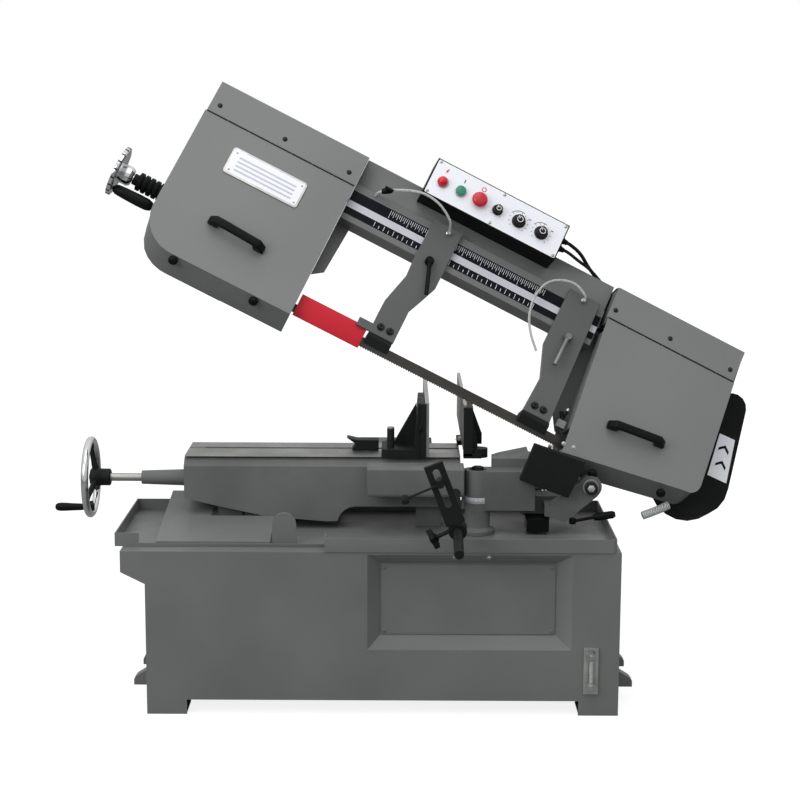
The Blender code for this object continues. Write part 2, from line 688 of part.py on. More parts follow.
def right_wheel_box(bow):
    top = 424.0
    outline = [(-99, -19), (196, 33), *arc((206, 64), 30, -70, 8, 4), (222, SEAM_Z), (217, top), (-133, top)]
    inner = [(-95, -15), (195, 36), *arc((205, 65), 27, -70, 8, 4), (219, SEAM_Z), (214, top - 3),
             (-130, top - 3)]
    pan = wheel_box("right_wheel_box", bow, outline, inner)
    top_run = WHEEL_Z + WHEEL_R
    cut(pan, block((-150, -90), (-34, 26), (top_run - 12, top_run + 14)), bow)
    cut(pan, block((-150, -85), (-36, 24), (-8, 48)), bow)
    cut(pan, rod((DRIVE_X, 20, WHEEL_Z), (DRIVE_X, 40, WHEEL_Z), 21, 16), bow)
    return pan


def pivot_lug(pan, head):
    """Barrel under the right wheel box that turns on the pivot shaft."""
    join(pan, rod((0, -27.6, 0), (0, 67.6, 0), 22, 20), head)
    join(pan, block((-15, 17), (4, 40), (-3, 34)), head)
    cut(pan, rod((0, -70, 0), (0, 104, 0), 12.4, 20), head)


def top_guard(name, bow, low, high):
    """Cover over the top of a wheel box: front sheet, sloped edge and top sheet."""
    front = DOOR_FRONT
    outline = [(front, SEAM_Z + 1), (front, GUARD_TOP_Z), (-4, BEAM_TOP_Z), (BOX_BACK, BEAM_TOP_Z),
               (BOX_BACK, BEAM_TOP_Z - 3), (-3, BEAM_TOP_Z - 3), (front + 3, GUARD_TOP_Z - 2),
               (front + 3, SEAM_Z + 1)]
    return add(name, prism(outline, low, high, "x"), "door", bow)


def door(name, bow, outline, hinge_x):
    plate = add(name, prism(outline, DOOR_FRONT, DOOR_FRONT + DOOR_THICK, "y"), "door", bow,
                (hinge_x, DOOR_FRONT, SEAM_Z))
    return plate


def left_door(bow):
    left, right = LEFT_BOX_X
    outline = [(left + 92, -20), (right, -20), (right, SEAM_Z), (left, SEAM_Z), (left, 66),
               *arc((left + 90, 70), 90, 182, 262, 7)]
    return door("left_door", bow, outline, (left + right) / 2)


def right_door(bow):
    outline = [(-99, -19), (205, 34), *arc((212, 64), 30, -70, 5, 5), (222, SEAM_Z), (-128, SEAM_Z)]
    return door("right_door", bow, outline, 50.0)


def door_handle(name, bow, centre, tilt):
    """Bridge handle with two feet on the door."""
    half, reach = 74.0, 32.0
    mesh = bmesh.new()
    outer = [(-half, 0), (-half, 10), (-half + 16, reach), (half - 16, reach), (half, 10), (half, 0)]
    inner = [(half - 26, 0), (half - 30, reach - 12), (-half + 30, reach - 12), (-half + 26, 0)]
    line = outer + inner
    low = [mesh.verts.new((a, -b, -10)) for a, b in line]
    high = [mesh.verts.new((a, -b, 10)) for a, b in line]
    mesh.faces.new(low)
    mesh.faces.new(high)
    count = len(line)
    for i in range(count):
        k = (i + 1) % count
        mesh.faces.new((low[i], low[k], high[k], high[i]))
    bmesh.ops.rotate(mesh, verts=mesh.verts, matrix=Matrix.Rotation(math.radians(tilt), 3, "Y"))
    bmesh.ops.translate(mesh, verts=mesh.verts, vec=(centre[0], DOOR_FRONT - GAP, centre[1]))
    handle = add(name, mesh, "black", bow, (centre[0], DOOR_FRONT, centre[1]))
    return bevel(handle, 3.0, 2)


def blade_wheel(name, bow, x, shaft):
    """Band wheel: rim with a flange at its door side, web, hub, and its own shaft where it is driven."""
    half = 15.0
    rim = WHEEL_R * math.cos(math.pi / WHEEL_SIDES)
    profile = [(0, half + 92), (17, half + 92), (17, half + 2), (34, half + 2), (34, 6), (138, 4), (138, half),
               (rim, half), (rim, -half + 1), (WHEEL_R + 2, -half + 1), (WHEEL_R + 2, -half - 2),
               (138, -half - 2), (138, -4), (34, -6), (34, -half - 2), (0, -half - 2)]
    if not shaft:
        profile = [(12.4, half + 2), (34, half + 2), *profile[4:15], (12.4, -half - 2)]
    wheel = add(name, turned(profile, (x, WHEEL_Y, WHEEL_Z), (0, 1, 0), WHEEL_SIDES), "casting", bow,
                (x, WHEEL_Y, WHEEL_Z))
    return wheel


def blade(bow):
    """Endless blade: flat on the wheels and twisted upright between the guides."""
    cos_cant, sin_cant = math.cos(CANT), math.sin(CANT)
    seat = WHEEL_R + GAP + BLADE_THICK / 2
    cut_centre = (-BLADE_WIDTH / 2 * sin_cant, BLADE_WIDTH / 2 * cos_cant)
    flat_turn = math.pi
    cut_turn = math.atan2(cos_cant, -sin_cant)
    low = WHEEL_Z - seat
    stations = []

    def bottom(x, share):
        ease = share * share * (3 - 2 * share)
        y = WHEEL_Y + (cut_centre[0] - WHEEL_Y) * ease
        z = low + (cut_centre[1] - low) * ease
        stations.append(((x, y, z), flat_turn + (cut_turn - flat_turn) * ease, None))

    for i in range(9):
        bottom(IDLER_X + 12 + (-660 - IDLER_X - 12) * i / 8, i / 8)
    for i in range(8):
        bottom(-112 + (DRIVE_X - 10 + 112) * i / 7, 1 - i / 7)
    for i in range(17):
        a = math.radians(-90 + 180 * i / 16)
        stations.append(((DRIVE_X + seat * math.cos(a), WHEEL_Y, WHEEL_Z + seat * math.sin(a)), flat_turn, a))
    for i in range(17):
        a = math.radians(90 + 180 * i / 16)
        stations.append(((IDLER_X + seat * math.cos(a), WHEEL_Y, WHEEL_Z + seat * math.sin(a)), flat_turn, a))
    mesh = bmesh.new()
    rows = []
    for place, turn, around in stations:
        wide = Vector((0, math.cos(turn), math.sin(turn)))
        thick = Vector((0, -math.sin(turn), math.cos(turn)))
        if around is not None:
            thick = Vector((math.cos(around), 0, math.sin(around)))
        row = []
        for a, b in ((1, 1), (1, -1), (-1, -1), (-1, 1)):
            row.append(mesh.verts.new(Vector(place) + wide * (a * BLADE_WIDTH / 2)
                                      + thick * (-b * BLADE_THICK / 2)))
        rows.append(row)
    for first, last in zip(rows, rows[1:] + rows[:1]):
        for k in range(4):
            n = (k + 1) % 4
            mesh.faces.new((first[k], last[k], last[n], first[n]))
    return add("saw_blade", mesh, "blade", bow)


def guide_arm(name, bow, outline, clamp_x):
    """Flat arm that slides along the rail, with a hook over the rail's top edge."""
    arm = add(name, prism(outline, *ARM_Y, "y"), "grey", bow)
    join(arm, block(clamp_x, (ARM_Y[1] - 2, -4.5), (RAIL_Z[1] + 0.6, RAIL_Z[1] + 8)), bow)
    return arm


def guide_block(name, head, low, high):
    """Blade guide under an arm: a block with a slot that the blade's back half runs in."""
    outline = [(-26, 57), (-1.6, 57), (-1.6, 69), (1.6, 69), (1.6, 60), (18.8, 60), (18.8, 71.0),
               (-12.5, 86.8), (-26, 80)]
    guide = add(name, prism(outline, low, high, "x"), "black", head)
    return guide


def arm_lever(name, bow, centre, tilt, length):
    """Ratchet clamp lever on the front of a guide arm."""
    profile = [(0, GAP), (11, GAP), (11, 12), (8, 18), (0, 18)]
    lever = add(name, turned(profile, (centre[0], ARM_Y[0], centre[1]), (0, -1, 0), 12), "black", bow,
                (centre[0], ARM_Y[0], centre[1]))
    end = (centre[0] + length * math.sin(tilt), ARM_Y[0] - 22, centre[1] - length * math.cos(tilt))
    join(lever, rod((centre[0], ARM_Y[0] - 12, centre[1]), end, 5.5, 8), bow)
    return lever


def blade_guard(bow):
    """Red channel over the unused length of blade beside the left guide."""
    outline = [(-22, -8), (-22, 46), (12, 46), (12, 27), (9, 27), (9, 43), (-19, 43), (-19, -8)]
    return add("blade_guard", prism(outline, -812, -640, "x"), "red", bow)


def blade_shield(head):
    """Black box in front of the right guide that keeps chips and coolant in."""
    outline = [(-170, 34), (-161, -58), (-39, -44), (-44, 51)]
    shield = add("blade_shield", prism(outline, -76, -53, "y"), "black", head)
    join(shield, block((-94, -52), (-54, -38.5), (12, 34)), head)
    return shield


def gear_case(bow):
    """Reduction gear case bolted behind the right wheel box."""
    back = BOX_BACK + GAP
    case = add("gear_case", block((DRIVE_X - 62, DRIVE_X + 62), (back, back + 88), (WHEEL_Z - 62, WHEEL_Z + 62)),
               "casting", bow)
    x, z, _ = PULLEY_BIG
    join(case, block((DRIVE_X + 20, x + 22), (back + 72, back + 87), (z - 22, z + 22)), bow)
    cut(case, rod((x, back + 60, z), (x, back + 82, z), 8.6, 20), bow)
    cut(case, rod((DRIVE_X, back - 5, WHEEL_Z), (DRIVE_X, back + 84, WHEEL_Z), 17.6, 32), bow)
    return case


def belt_guard(bow):
    """Rounded shell around both pulleys, open at the back."""
    def around(big, small, grow):
        lower = arc(big[:2], 84 + grow, 205, 372, 9)
        upper = arc(small[:2], 27 + grow, 12, 165, 6)
        return lower + upper

    shell = add("belt_guard", prism(around(PULLEY_BIG, PULLEY_SMALL, 8), BOX_BACK + 4, 100, "y"), "black", bow)
    cut(shell, prism(around(PULLEY_BIG, PULLEY_SMALL, 4.5), BOX_BACK + 8, 104, "y"), bow)
    for z in (70, 130):
        join(shell, rod((182, BOX_BACK + GAP, z), (182, BOX_BACK + 6, z), 8, 8), bow)
    return shell


def motor(bow):
    """Drive motor behind the belt guard, with its feet plate and terminal box."""
    x, z, _ = PULLEY_SMALL
    start = 106.0
    profile = [(0, 0), (50, 0), (66, 8), (66, 120), (56, 136), (0, 136)]
    body = add("motor", turned(profile, (x - 20, start, z), (0, 1, 0), 20), "casting", bow)
    join(body, block((x - 60, x + 10), (start + 30, start + 90), (z + 50, z + 92)), bow)
    plate = block((DRIVE_X - 40, x + 20), (start - 0.2, start + 7), (WHEEL_Z + 66, z + 20))
    join(body, plate, bow)
    cut(body, rod((x, start - 10, z), (x, start + 40, z), 8.4, 14), bow)
    join(body, block((DRIVE_X - 30, DRIVE_X + 30), (BOX_BACK + GAP, start + 4), (WHEEL_Z + 66, WHEEL_Z + 100)), bow)
    return body


def pulley(name, bow, place, face):
    x, z, radius = place
    profile = [(0, 0), (radius, 0), (radius - 7, 8), (radius - 7, 10), (radius, 18), (radius, 22), (8, 22),
               (8, face), (0, face)]
    return add(name, turned(profile, (x, 62, z), (0, 1, 0), 20), "steel", bow, (x, 62, z))


def tension_carriage(bow):
    """Sliding block behind the left wheel box with the idler's axle and the tension screw's nut."""
    carriage = add("tension_carriage", block((IDLER_X - 60, IDLER_X + 45), (BOX_BACK + GAP, 112), (130, 206)),
                   "casting", bow)
    join(carriage, rod((IDLER_X, BOX_BACK + 10, WHEEL_Z), (IDLER_X, WHEEL_Y - 20, WHEEL_Z), 12, 32), bow)
    cut(carriage, rod((IDLER_X - 80, 90, 153), (IDLER_X + 60, 90, 153), 9.6), bow)
    return carriage


def tension_handwheel(bow):
    """Tension screw with its spring washers, hub and chromed handwheel."""
    left = -1352.0
    profile = [(0, 0), (20, 0), (20, 6), (52, 8), (60, 6), (62, 12), (58, 18), (46, 18), (20, 16), (24, 44),
               (14, 52), (14, 62)]
    washers = []
    for i in range(5):
        washers += [(29, 64 + 14 * i), (29, 73 + 14 * i), (25, 76 + 14 * i), (25, 77 + 14 * i)]
    profile += washers + [(14, 136), (9, 137), (9, 340), (0, 340)]
    return add("tension_handwheel", turned(profile, (left, 90, 153), (1, 0, 0), 18), "chrome", bow,
               (left, 90, 153))


# ---------------------------------------------------------------- controls

PANEL = {"x": (-668.0, -309.0), "y": (-70.0, -3.4), "z": (400.0, 500.0)}
CONTROL_Z = 446.0
CONTROLS = {"power_lamp": -635.0, "start_button": -586.0, "stop_button": -536.0, "mode_selector": -486.0,
            "speed_dial": -428.0, "feed_dial": -367.0}


def control_box(bow):
    box = add("control_box", block(PANEL["x"], PANEL["y"], PANEL["z"]), "black", bow)
    for name, x in CONTROLS.items():
        if name != "power_lamp":
            cut(box, rod((x, PANEL["y"][0] - 5, CONTROL_Z), (x, PANEL["y"][0] + 16, CONTROL_Z), 8.0, 12), bow)
    lamp = turned([(0, -3), (13.5, -3), (13.5, 4), (9, 11), (0, 13)],
                  (CONTROLS["power_lamp"], PANEL["y"][0], CONTROL_Z), (0, -1, 0), 14)
    join(box, lamp, bow)
    return box


def control(name, bow, profile, slot):
    centre = (CONTROLS[name], PANEL["y"][0], CONTROL_Z)
    return add(name, turned(profile, centre, (0, -1, 0), 14), slot, bow, centre)


def controls(bow):
    control("start_button", bow, [(0, -10), (7.2, -10), (7.2, 4.8), (12.5, 5), (12.5, 10), (0, 11)], "green")
    control("stop_button", bow, [(0, -10), (7.2, -10), (7.2, 5.8), (19, 9), (19, 16), (12, 20), (0, 21)], "red")
    dial = [(0, -12), (7.2, -12), (7.2, GAP), (17, GAP), (17, 4), (12, 6), (11, 18), (0, 18)]
    small = [(r * 0.78 if r > 8 else r, h) for r, h in dial]
    control("mode_selector", bow, small, "black")
    control("speed_dial", bow, dial, "black")
    control("feed_dial", bow, dial, "black")


# ---------------------------------------------------------------- cylinder and hoses

def feed_cylinder(frame):
    """Feed cylinder barrel between the arm's pin and the bow."""
    foot = Vector((CYLINDER_FOOT[0], CYLINDER_Y, CYLINDER_FOOT[1]))
    eye = Vector((CYLINDER_EYE[0], CYLINDER_Y, CYLINDER_EYE[1]))
    along = (eye - foot).normalized()
    barrel = add("feed_cylinder", turned([(0, 14), (19, 14), (19, 122), (5.4, 122), (5.4, 26), (0, 26)],
                                         foot, along, 16), "steel", frame, foot)
    join(barrel, ring(foot + Vector((0, -7, 0)), (0, 1, 0), 15, 8.6, 14, 16), frame)
    rod_start = foot + along * 72
    piston = add("feed_rod", rod(rod_start, eye - along * 14, 5.0, 12), "chrome", frame, rod_start)
    join(piston, ring(eye + Vector((0, -6, 0)), (0, 1, 0), 18, 12.5, 12, 16), frame)


def cylinder_pin(pan, frame):
    """Bracket and pin on the back of the right wheel box for the feed rod's eye."""
    eye = (CYLINDER_EYE[0], CYLINDER_Y, CYLINDER_EYE[1])
    join(pan, rod((eye[0], CYLINDER_Y + 12, eye[2]), (eye[0], 61, eye[2]), 7, 12), frame)


def hoses(bow):
    """Coolant tubes and the control cable."""
    cord("left_coolant_tube", [(-764, -18.6, 356), (-758, -34, 364), (-724, -54, 380), (-669, -72, 395),
                               (-620, -82, 386), (-580, -72, 366), (-568, -50, 354), (-566, -32.2, 350)],
         6.0, "clear", bow)
    cord("right_coolant_tube", [(-199, -32.4, 356), (-201, -46, 364), (-237, -50, 378), (-276, -48, 368),
                                (-302, -44, 344), (-312, -40, 300), (-305, -40, 254), (-284, -34, 218),
                                (-252, -25, 186)], 6.0, "clear", bow)
    cord("control_cable", [(-308.4, -34, 472), (-284, -32, 473), (-250, -18, 470), (-214, 4, 458),
                           (-176, 26, 450), (-130, 52, 444), (-40, 92, 424), (70, 120, 402),
                           (150, 146, 390), (176, 158, 389), (198, 164, 388)], 9.0, "rubber", bow)


# ---------------------------------------------------------------- assembly

def build():
    clear_scene()
    machine = empty("machine_frame", None, (-CENTRE_X, -CENTRE_Y, 0))
    head = empty("head_pivot_frame", machine, HEAD_PIVOT, (0.0, HEAD_RAISED, 0.0))
    bow = empty("bow_frame", head, (0, 0, BLADE_OVER_PIVOT), (-CANT, 0.0, 0.0))

    for make in (base_cabinet, front_access_panel, level_gauge, coolant_tray, bed_casting, swivel_post,
                 coolant_pump, movable_jaw, movable_jaw_plate, vise_nut, fixed_jaw, fixed_jaw_plate,
                 vise_screw, vise_handwheel, crank_handle, swivel_arm, outfeed_ledge, head_pivot_shaft,
                 swivel_lock_lever, stop_rod, stop_arm, stop_knob):
        make(machine)

    bow_beam(bow)
    left_wheel_box(bow)
    right_pan = right_wheel_box(bow)
    pivot_lug(right_pan, head)
    cylinder_pin(right_pan, machine)
    top_guard("left_top_guard", bow, LEFT_BOX_X[0] + 3, LEFT_BOX_X[1])
    top_guard("right_top_guard", bow, -132, 218)
    left_door(bow)
    right_door(bow)
    door_handle("left_door_handle", bow, (-1012, 92), 3.0)
    door_handle("right_door_handle", bow, (46, 103), -7.0)
    blade_wheel("idler_wheel", bow, IDLER_X, False)
    blade_wheel("drive_wheel", bow, DRIVE_X, True)
    blade(bow)

    left_arm = guide_arm("left_guide_arm", bow, [(-610, 369), (-534, 368), (-535, 264), (-536, 209), (-556, 158),
                                      (-569, 127), (-570, 36), (-633, 36), (-633, 92), (-632, 125),
                                      (-612, 206), (-614, 261)], (-600, -545))
    join(left_arm, block((-668, -628), (-30, -22.3), (37, 58)), bow)
    guide_arm("right_guide_arm", bow, [(-240, 372), (-157, 372), (-153, 36), (-224, 36), (-217, 129),
                                       (-244, 212)], (-230, -168))
    guide_block("left_guide_block", head, -634, -572)
    guide_block("right_guide_block", head, -226, -152)
    arm_lever("left_arm_lever", bow, (-578, 262), 0.3, 90)
    arm_lever("right_arm_lever", bow, (-198, 250), -0.05, 84)
    blade_guard(bow)
    blade_shield(head)

    gear_case(bow)
    belt_guard(bow)
    motor(bow)
    pulley("gear_pulley", bow, PULLEY_BIG, 48)
    pulley("motor_pulley", bow, PULLEY_SMALL, 60)
    tension_carriage(bow)
    tension_handwheel(bow)
    control_box(bow)
    controls(bow)
    feed_cylinder(machine)
    hoses(bow)


build()
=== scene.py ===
"""Looks for the horizontal band saw: materials, rounded edges, fasteners, rule, controls and hoses.

Lengths are in millimetres in three frames, as in the part: the machine frame (X right, Y to the back
from the blade's plane, Z up), the head frame on the bow's pivot and the bow frame, which leans back
by the cant. Every piece is turned into the row frame in metres when its mesh is made.
"""
import json
from math import acos, atan2, cos, degrees, pi, radians, sin

import bmesh
import bpy
from mathutils import Matrix, Vector


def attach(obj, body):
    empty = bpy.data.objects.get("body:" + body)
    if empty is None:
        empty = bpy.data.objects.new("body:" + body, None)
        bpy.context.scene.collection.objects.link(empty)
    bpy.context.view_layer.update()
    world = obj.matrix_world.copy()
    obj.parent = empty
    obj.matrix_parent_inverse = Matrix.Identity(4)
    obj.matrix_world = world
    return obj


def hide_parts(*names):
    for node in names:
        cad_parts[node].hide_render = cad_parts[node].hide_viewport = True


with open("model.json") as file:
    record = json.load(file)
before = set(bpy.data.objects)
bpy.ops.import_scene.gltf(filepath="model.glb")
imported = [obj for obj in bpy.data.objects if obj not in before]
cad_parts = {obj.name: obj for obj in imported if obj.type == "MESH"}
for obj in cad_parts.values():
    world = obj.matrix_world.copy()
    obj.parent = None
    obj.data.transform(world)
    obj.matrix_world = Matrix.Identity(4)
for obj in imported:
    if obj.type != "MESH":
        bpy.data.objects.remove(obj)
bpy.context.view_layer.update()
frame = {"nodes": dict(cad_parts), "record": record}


def joint(name):
    """A joint's entry in the record."""
    for entry in frame["record"]["behaviour"]["joints"]:
        if entry["name"] == name:
            return entry
    raise KeyError(name)


MM = 0.001
PIVOT = Vector((452.0, 0.0, 512.0))
PIVOT_FOUND = Vector(joint("bow_pivot")["pos_m"]) / MM
BOW_ALONG = Vector(joint("tension_travel")["axis"])
BOW_BACK = Vector(joint("drive_spin")["axis"])
RAISED = atan2(-BOW_ALONG.z, BOW_ALONG.x)
CANT = acos(BOW_BACK.y)
MACHINE = Matrix.Translation(PIVOT_FOUND - PIVOT)
HEAD = MACHINE @ Matrix.Translation(PIVOT) @ Matrix.Rotation(RAISED, 4, "Y")
BOW = HEAD @ Matrix.Translation((0.0, 0.0, 41.0)) @ Matrix.Rotation(-CANT, 4, "X")

DOOR_FRONT = -42.0
RAIL_FRONT = -17.0
ARM_FRONT = -30.0
PANEL_FRONT = -70.0
CONTROL_Z = 446.0
WHEEL_R = 155.0
WHEEL_Z = 11.3 + WHEEL_R
IDLER_X = -1045.0
DRIVE_X = 52.0
BLADE_WIDTH = 25.4
BLADE_THICK = 1.2
SCREW = (-518.0, 130.0, 493.0)
TENSION = (-1352.0, 90.0, 153.0)
HALF_INCH = 12.7
STOP_KNOB = (86.0, -273.7, 446.0)
VISE_WHEEL_X = -762.0
HUB = (186.0, -20.0)
MOTOR_AXIS = (242.0, 318.0)
HINGE_Z = 343.6
GUARD_SCREW_Z = 369
GUARD_TOP_Z = 440.2
GUARD_SCREW_X = (-1190, -1017, -845, -118, 33, 200)
TOOTH_PITCH = 6.35
BLADE_ON_WHEEL_Y = 2.0

LEFT, RIGHT = (-1, 0, 0), (1, 0, 0)
FRONT, BACK = (0, -1, 0), (0, 1, 0)
UP = (0, 0, 1)

LENS_MM = 78.75
SENSOR_MM = 36.0
CAMERA_PLACE = (0.0, -4100.0, 1402.0)
CAMERA_DOWN = 9.57
CAMERA_ROLL = 0.25

WORLD_LOW = 0.4
WORLD_HIGH = 1.0
TOP_POWER = 26
KEY_POWER = 50
FLOOR_GLOW = 0.85


# ---- materials

def linear(code):
    """An (r, g, b, 1) colour from a hex code."""
    found = []
    for i in (0, 2, 4):
        value = int(code[i:i + 2], 16) / 255
        found.append(value / 12.92 if value <= 0.04045 else ((value + 0.055) / 1.055) ** 2.4)
    return (*found, 1.0)


def fill(node, values):
    """Sets a node's unlinked inputs by name."""
    for key, value in values.items():
        node.inputs[key].default_value = value


class Shader:
    """A Principled material with helpers for its procedural layers."""

    def __init__(self, name, colour, roughness, metallic=0.0, shine=0.3):
        self.material = bpy.data.materials.new(name)
        self.material.use_nodes = True
        self.tree = self.material.node_tree
        self.main = self.tree.nodes["Principled BSDF"]
        fill(self.main, {"Base Color": colour, "Roughness": roughness, "Metallic": metallic,
            "Specular IOR Level": shine})
        place = self.tree.nodes.new("ShaderNodeTexCoord")
        self.place = place.outputs["Object"]

    def link(self, start, end):
        self.tree.links.new(start, end)

    def noise(self, scale, detail=4.0, stretch=(1.0, 1.0, 1.0)):
        mapping = self.tree.nodes.new("ShaderNodeMapping")
        mapping.inputs["Scale"].default_value = stretch
        self.link(self.place, mapping.inputs["Vector"])
        texture = self.tree.nodes.new("ShaderNodeTexNoise")
        fill(texture, {"Scale": scale, "Detail": detail})
        self.link(mapping.outputs["Vector"], texture.inputs["Vector"])
        return texture.outputs["Fac"]

    def spread(self, value, low, high, start=0.3, end=0.7):
        """Maps a 0 to 1 value between start and end onto low to high."""
        mapped = self.tree.nodes.new("ShaderNodeMapRange")
        fill(mapped, {"From Min": start, "From Max": end, "To Min": low, "To Max": high})
        self.link(value, mapped.inputs["Value"])
        return mapped.outputs["Result"]

    def mix(self, factor, first, second):
        blend = self.tree.nodes.new("ShaderNodeMix")
        blend.data_type = "RGBA"
        self.link(factor, blend.inputs["Factor"])
        for socket, colour in ((blend.inputs["A"], first), (blend.inputs["B"], second)):
            if isinstance(colour, tuple):
                socket.default_value = colour
            else:
                self.link(colour, socket)
        return blend.outputs["Result"]

    def bump(self, value, strength, depth=0.001):
        node = self.tree.nodes.new("ShaderNodeBump")
        fill(node, {"Strength": strength, "Distance": depth})
        self.link(value, node.inputs["Height"])
        previous = self.main.inputs["Normal"]
        if previous.is_linked:
            self.link(previous.links[0].from_socket, node.inputs["Normal"])
        self.link(node.outputs["Normal"], previous)

    def colour(self, socket):
        self.link(socket, self.main.inputs["Base Color"])

    def roughness(self, socket):
        self.link(socket, self.main.inputs["Roughness"])


def scaled(colour, factor):
    return (colour[0] * factor, colour[1] * factor, colour[2] * factor, 1.0)


def painted(name, code, rough=0.42, tint=0.1):
    """Satin machine paint: orange peel, slow tone changes, handling smears and small chips."""
    colour = linear(code)
    made = Shader(name, colour, rough)
    tone = made.mix(made.spread(made.noise(3.5), 0.0, 1.0), scaled(colour, 1 - tint),
        scaled(colour, 1 + tint))
    specks = made.spread(made.noise(420.0, 2.0), 0.0, 0.6, 0.66, 0.74)
    made.colour(made.mix(specks, tone, scaled(colour, 0.55)))
    made.roughness(made.spread(made.noise(14.0, 6.0), rough - 0.08, rough + 0.12))
    made.bump(made.noise(900.0, 2.0), 0.12, 0.0004)
    made.bump(made.noise(9.0, 2.0), 0.08, 0.002)
    return made.material


def cast(name, code, rough=0.55):
    """Painted sand casting: pebbled skin under the paint."""
    colour = linear(code)
    made = Shader(name, colour, rough, 0.0, 0.2)
    made.colour(made.mix(made.spread(made.noise(6.0, 5.0), 0.0, 1.0), scaled(colour, 0.8),
        scaled(colour, 1.18)))
    made.roughness(made.spread(made.noise(30.0, 5.0), rough - 0.1, rough + 0.12))
    made.bump(made.noise(260.0, 4.0), 0.35, 0.0008)
    made.bump(made.noise(28.0, 3.0), 0.2, 0.002)
    return made.material


def machined(name, code, rough=0.3, stretch=(1.0, 60.0, 60.0)):
    """Ground steel: fine lines along one direction, dull patches and stains."""
    colour = linear(code)
    made = Shader(name, colour, rough, 1.0)
    lines = made.noise(30.0, 6.0, stretch)
    made.colour(made.mix(made.spread(lines, 0.0, 1.0), scaled(colour, 0.78), scaled(colour, 1.12)))
    made.roughness(made.spread(made.noise(11.0, 6.0), rough - 0.1, rough + 0.18))
    made.bump(lines, 0.18, 0.0004)
    return made.material


def chromed(name):
    made = Shader(name, linear("D9DADC"), 0.08, 1.0, 0.5)
    made.roughness(made.spread(made.noise(40.0, 5.0), 0.05, 0.16))
    made.bump(made.noise(60.0, 2.0), 0.03, 0.0006)
    return made.material


def moulded(name, code, rough=0.4, grain=0.15, shine=0.22):
    """Moulded plastic with a fine spark-eroded grain."""
    colour = linear(code)
    made = Shader(name, colour, rough, 0.0, shine)
    made.colour(made.mix(made.spread(made.noise(20.0), 0.0, 1.0), scaled(colour, 0.88),
        scaled(colour, 1.1)))
    made.roughness(made.spread(made.noise(50.0, 4.0), rough - 0.06, rough + 0.1))
    made.bump(made.noise(1400.0, 2.0), grain, 0.0003)
    return made.material


def clear_tube(name):
    """Milky translucent hose, with slow changes along its wall."""
    made = Shader(name, linear("D4D8D6"), 0.25)
    fill(made.main, {"Transmission Weight": 0.35, "Alpha": 0.82})
    made.roughness(made.spread(made.noise(90.0), 0.18, 0.34))
    made.bump(made.noise(240.0, 2.0), 0.1, 0.0004)
    return made.material


def braided(name):
    """Reinforced clear hose: crossed threads under a glossy skin."""
    made = Shader(name, linear("B9BDBB"), 0.3)
    waves = []
    for turn in (0.7, -0.7):
        mapping = made.tree.nodes.new("ShaderNodeMapping")
        mapping.inputs["Rotation"].default_value = (0.0, turn, turn)
        made.link(made.place, mapping.inputs["Vector"])
        wave = made.tree.nodes.new("ShaderNodeTexWave")
        wave.inputs["Scale"].default_value = 90.0
        made.link(mapping.outputs["Vector"], wave.inputs["Vector"])
        waves.append(wave.outputs["Fac"])
    threads = made.mix(made.spread(waves[0], 0.0, 1.0, 0.7, 0.95), linear("8C9290"), linear("D0D4D2"))
    made.colour(made.mix(made.spread(waves[1], 0.0, 1.0, 0.7, 0.95), threads, linear("D8DCDA")))
    made.bump(waves[0], 0.3, 0.0005)
    return made.material


GREY = painted("paint_grey", "6E706F")
# Door and top-guard paint: the machine grey made lighter, painted light for the top light these
# up-facing sheets catch.
PAINTED_LIGHT_DOORS = painted("doors_grey_painted_light", "7B7D7C", 0.4, 0.05)
CASTING = cast("casting_paint", "666867")
WHEEL_IRON = cast("wheel_casting", "4E504F", 0.5)
MOTOR = painted("paint_motor", "565858", 0.5)
BLACK_IRON = cast("black_casting", "151817", 0.55)
PLASTIC = moulded("black_plastic", "0F1011", 0.45, 0.15, 0.12)
GUARD_BLACK = moulded("guard_plastic", "181A1A", 0.6, 0.15, 0.08)
# Guide-arm paint: the machine grey made darker, painted shade for the upright arms; the stay beside the
# right arm uses it too.
SHADED_ARM_GREY = painted("arms_grey_painted_shade", "5A5C5B", 0.45)
DIAL_BLACK = moulded("dial_black", "131418", 0.25, 0.05)
RUBBER = moulded("cable_rubber", "121212", 0.6, 0.3)
STEEL = machined("ground_steel", "B4B4B2", 0.42)
BED_STEEL = machined("bed_steel", "8E8E8C", 0.34, (60.0, 1.0, 60.0))
BOLT = machined("bolt_steel", "C9C9C7", 0.3, (1.0, 1.0, 1.0))
DULL_STEEL = machined("dull_sheet", "8A8B8A", 0.5, (1.0, 1.0, 1.0))
DARK_BOLT = machined("dark_bolt", "3A3B3C", 0.4, (1.0, 1.0, 1.0))
BLADE = machined("blade_steel", "6A6864", 0.36, (1.0, 40.0, 40.0))
CHROME = chromed("chrome_plate")
RED = painted("guard_red", "C81E30", 0.4, 0.06)
BUTTON_RED = moulded("button_red", "C4202F", 0.22, 0.02, 0.5)
BUTTON_GREEN = moulded("button_green", "2A8A73", 0.22, 0.02, 0.5)
LAMP_RED = moulded("lamp_red", "D0102E", 0.12, 0.0, 0.5)
FACE = painted("panel_face", "F2F5FC", 0.4, 0.015)
INK = moulded("printed_ink", "10111A", 0.5, 0.02, 0.1)
RULE_SILVER = painted("rule_silver", "C4C7CE", 0.5, 0.03)
MARK_WHITE = moulded("rule_marks", "E4E6EA", 0.5, 0.02)
TUBE = clear_tube("clear_tube")
BRAID = braided("braided_hose")
GLASS = clear_tube("gauge_tube")


# ---- mesh helpers

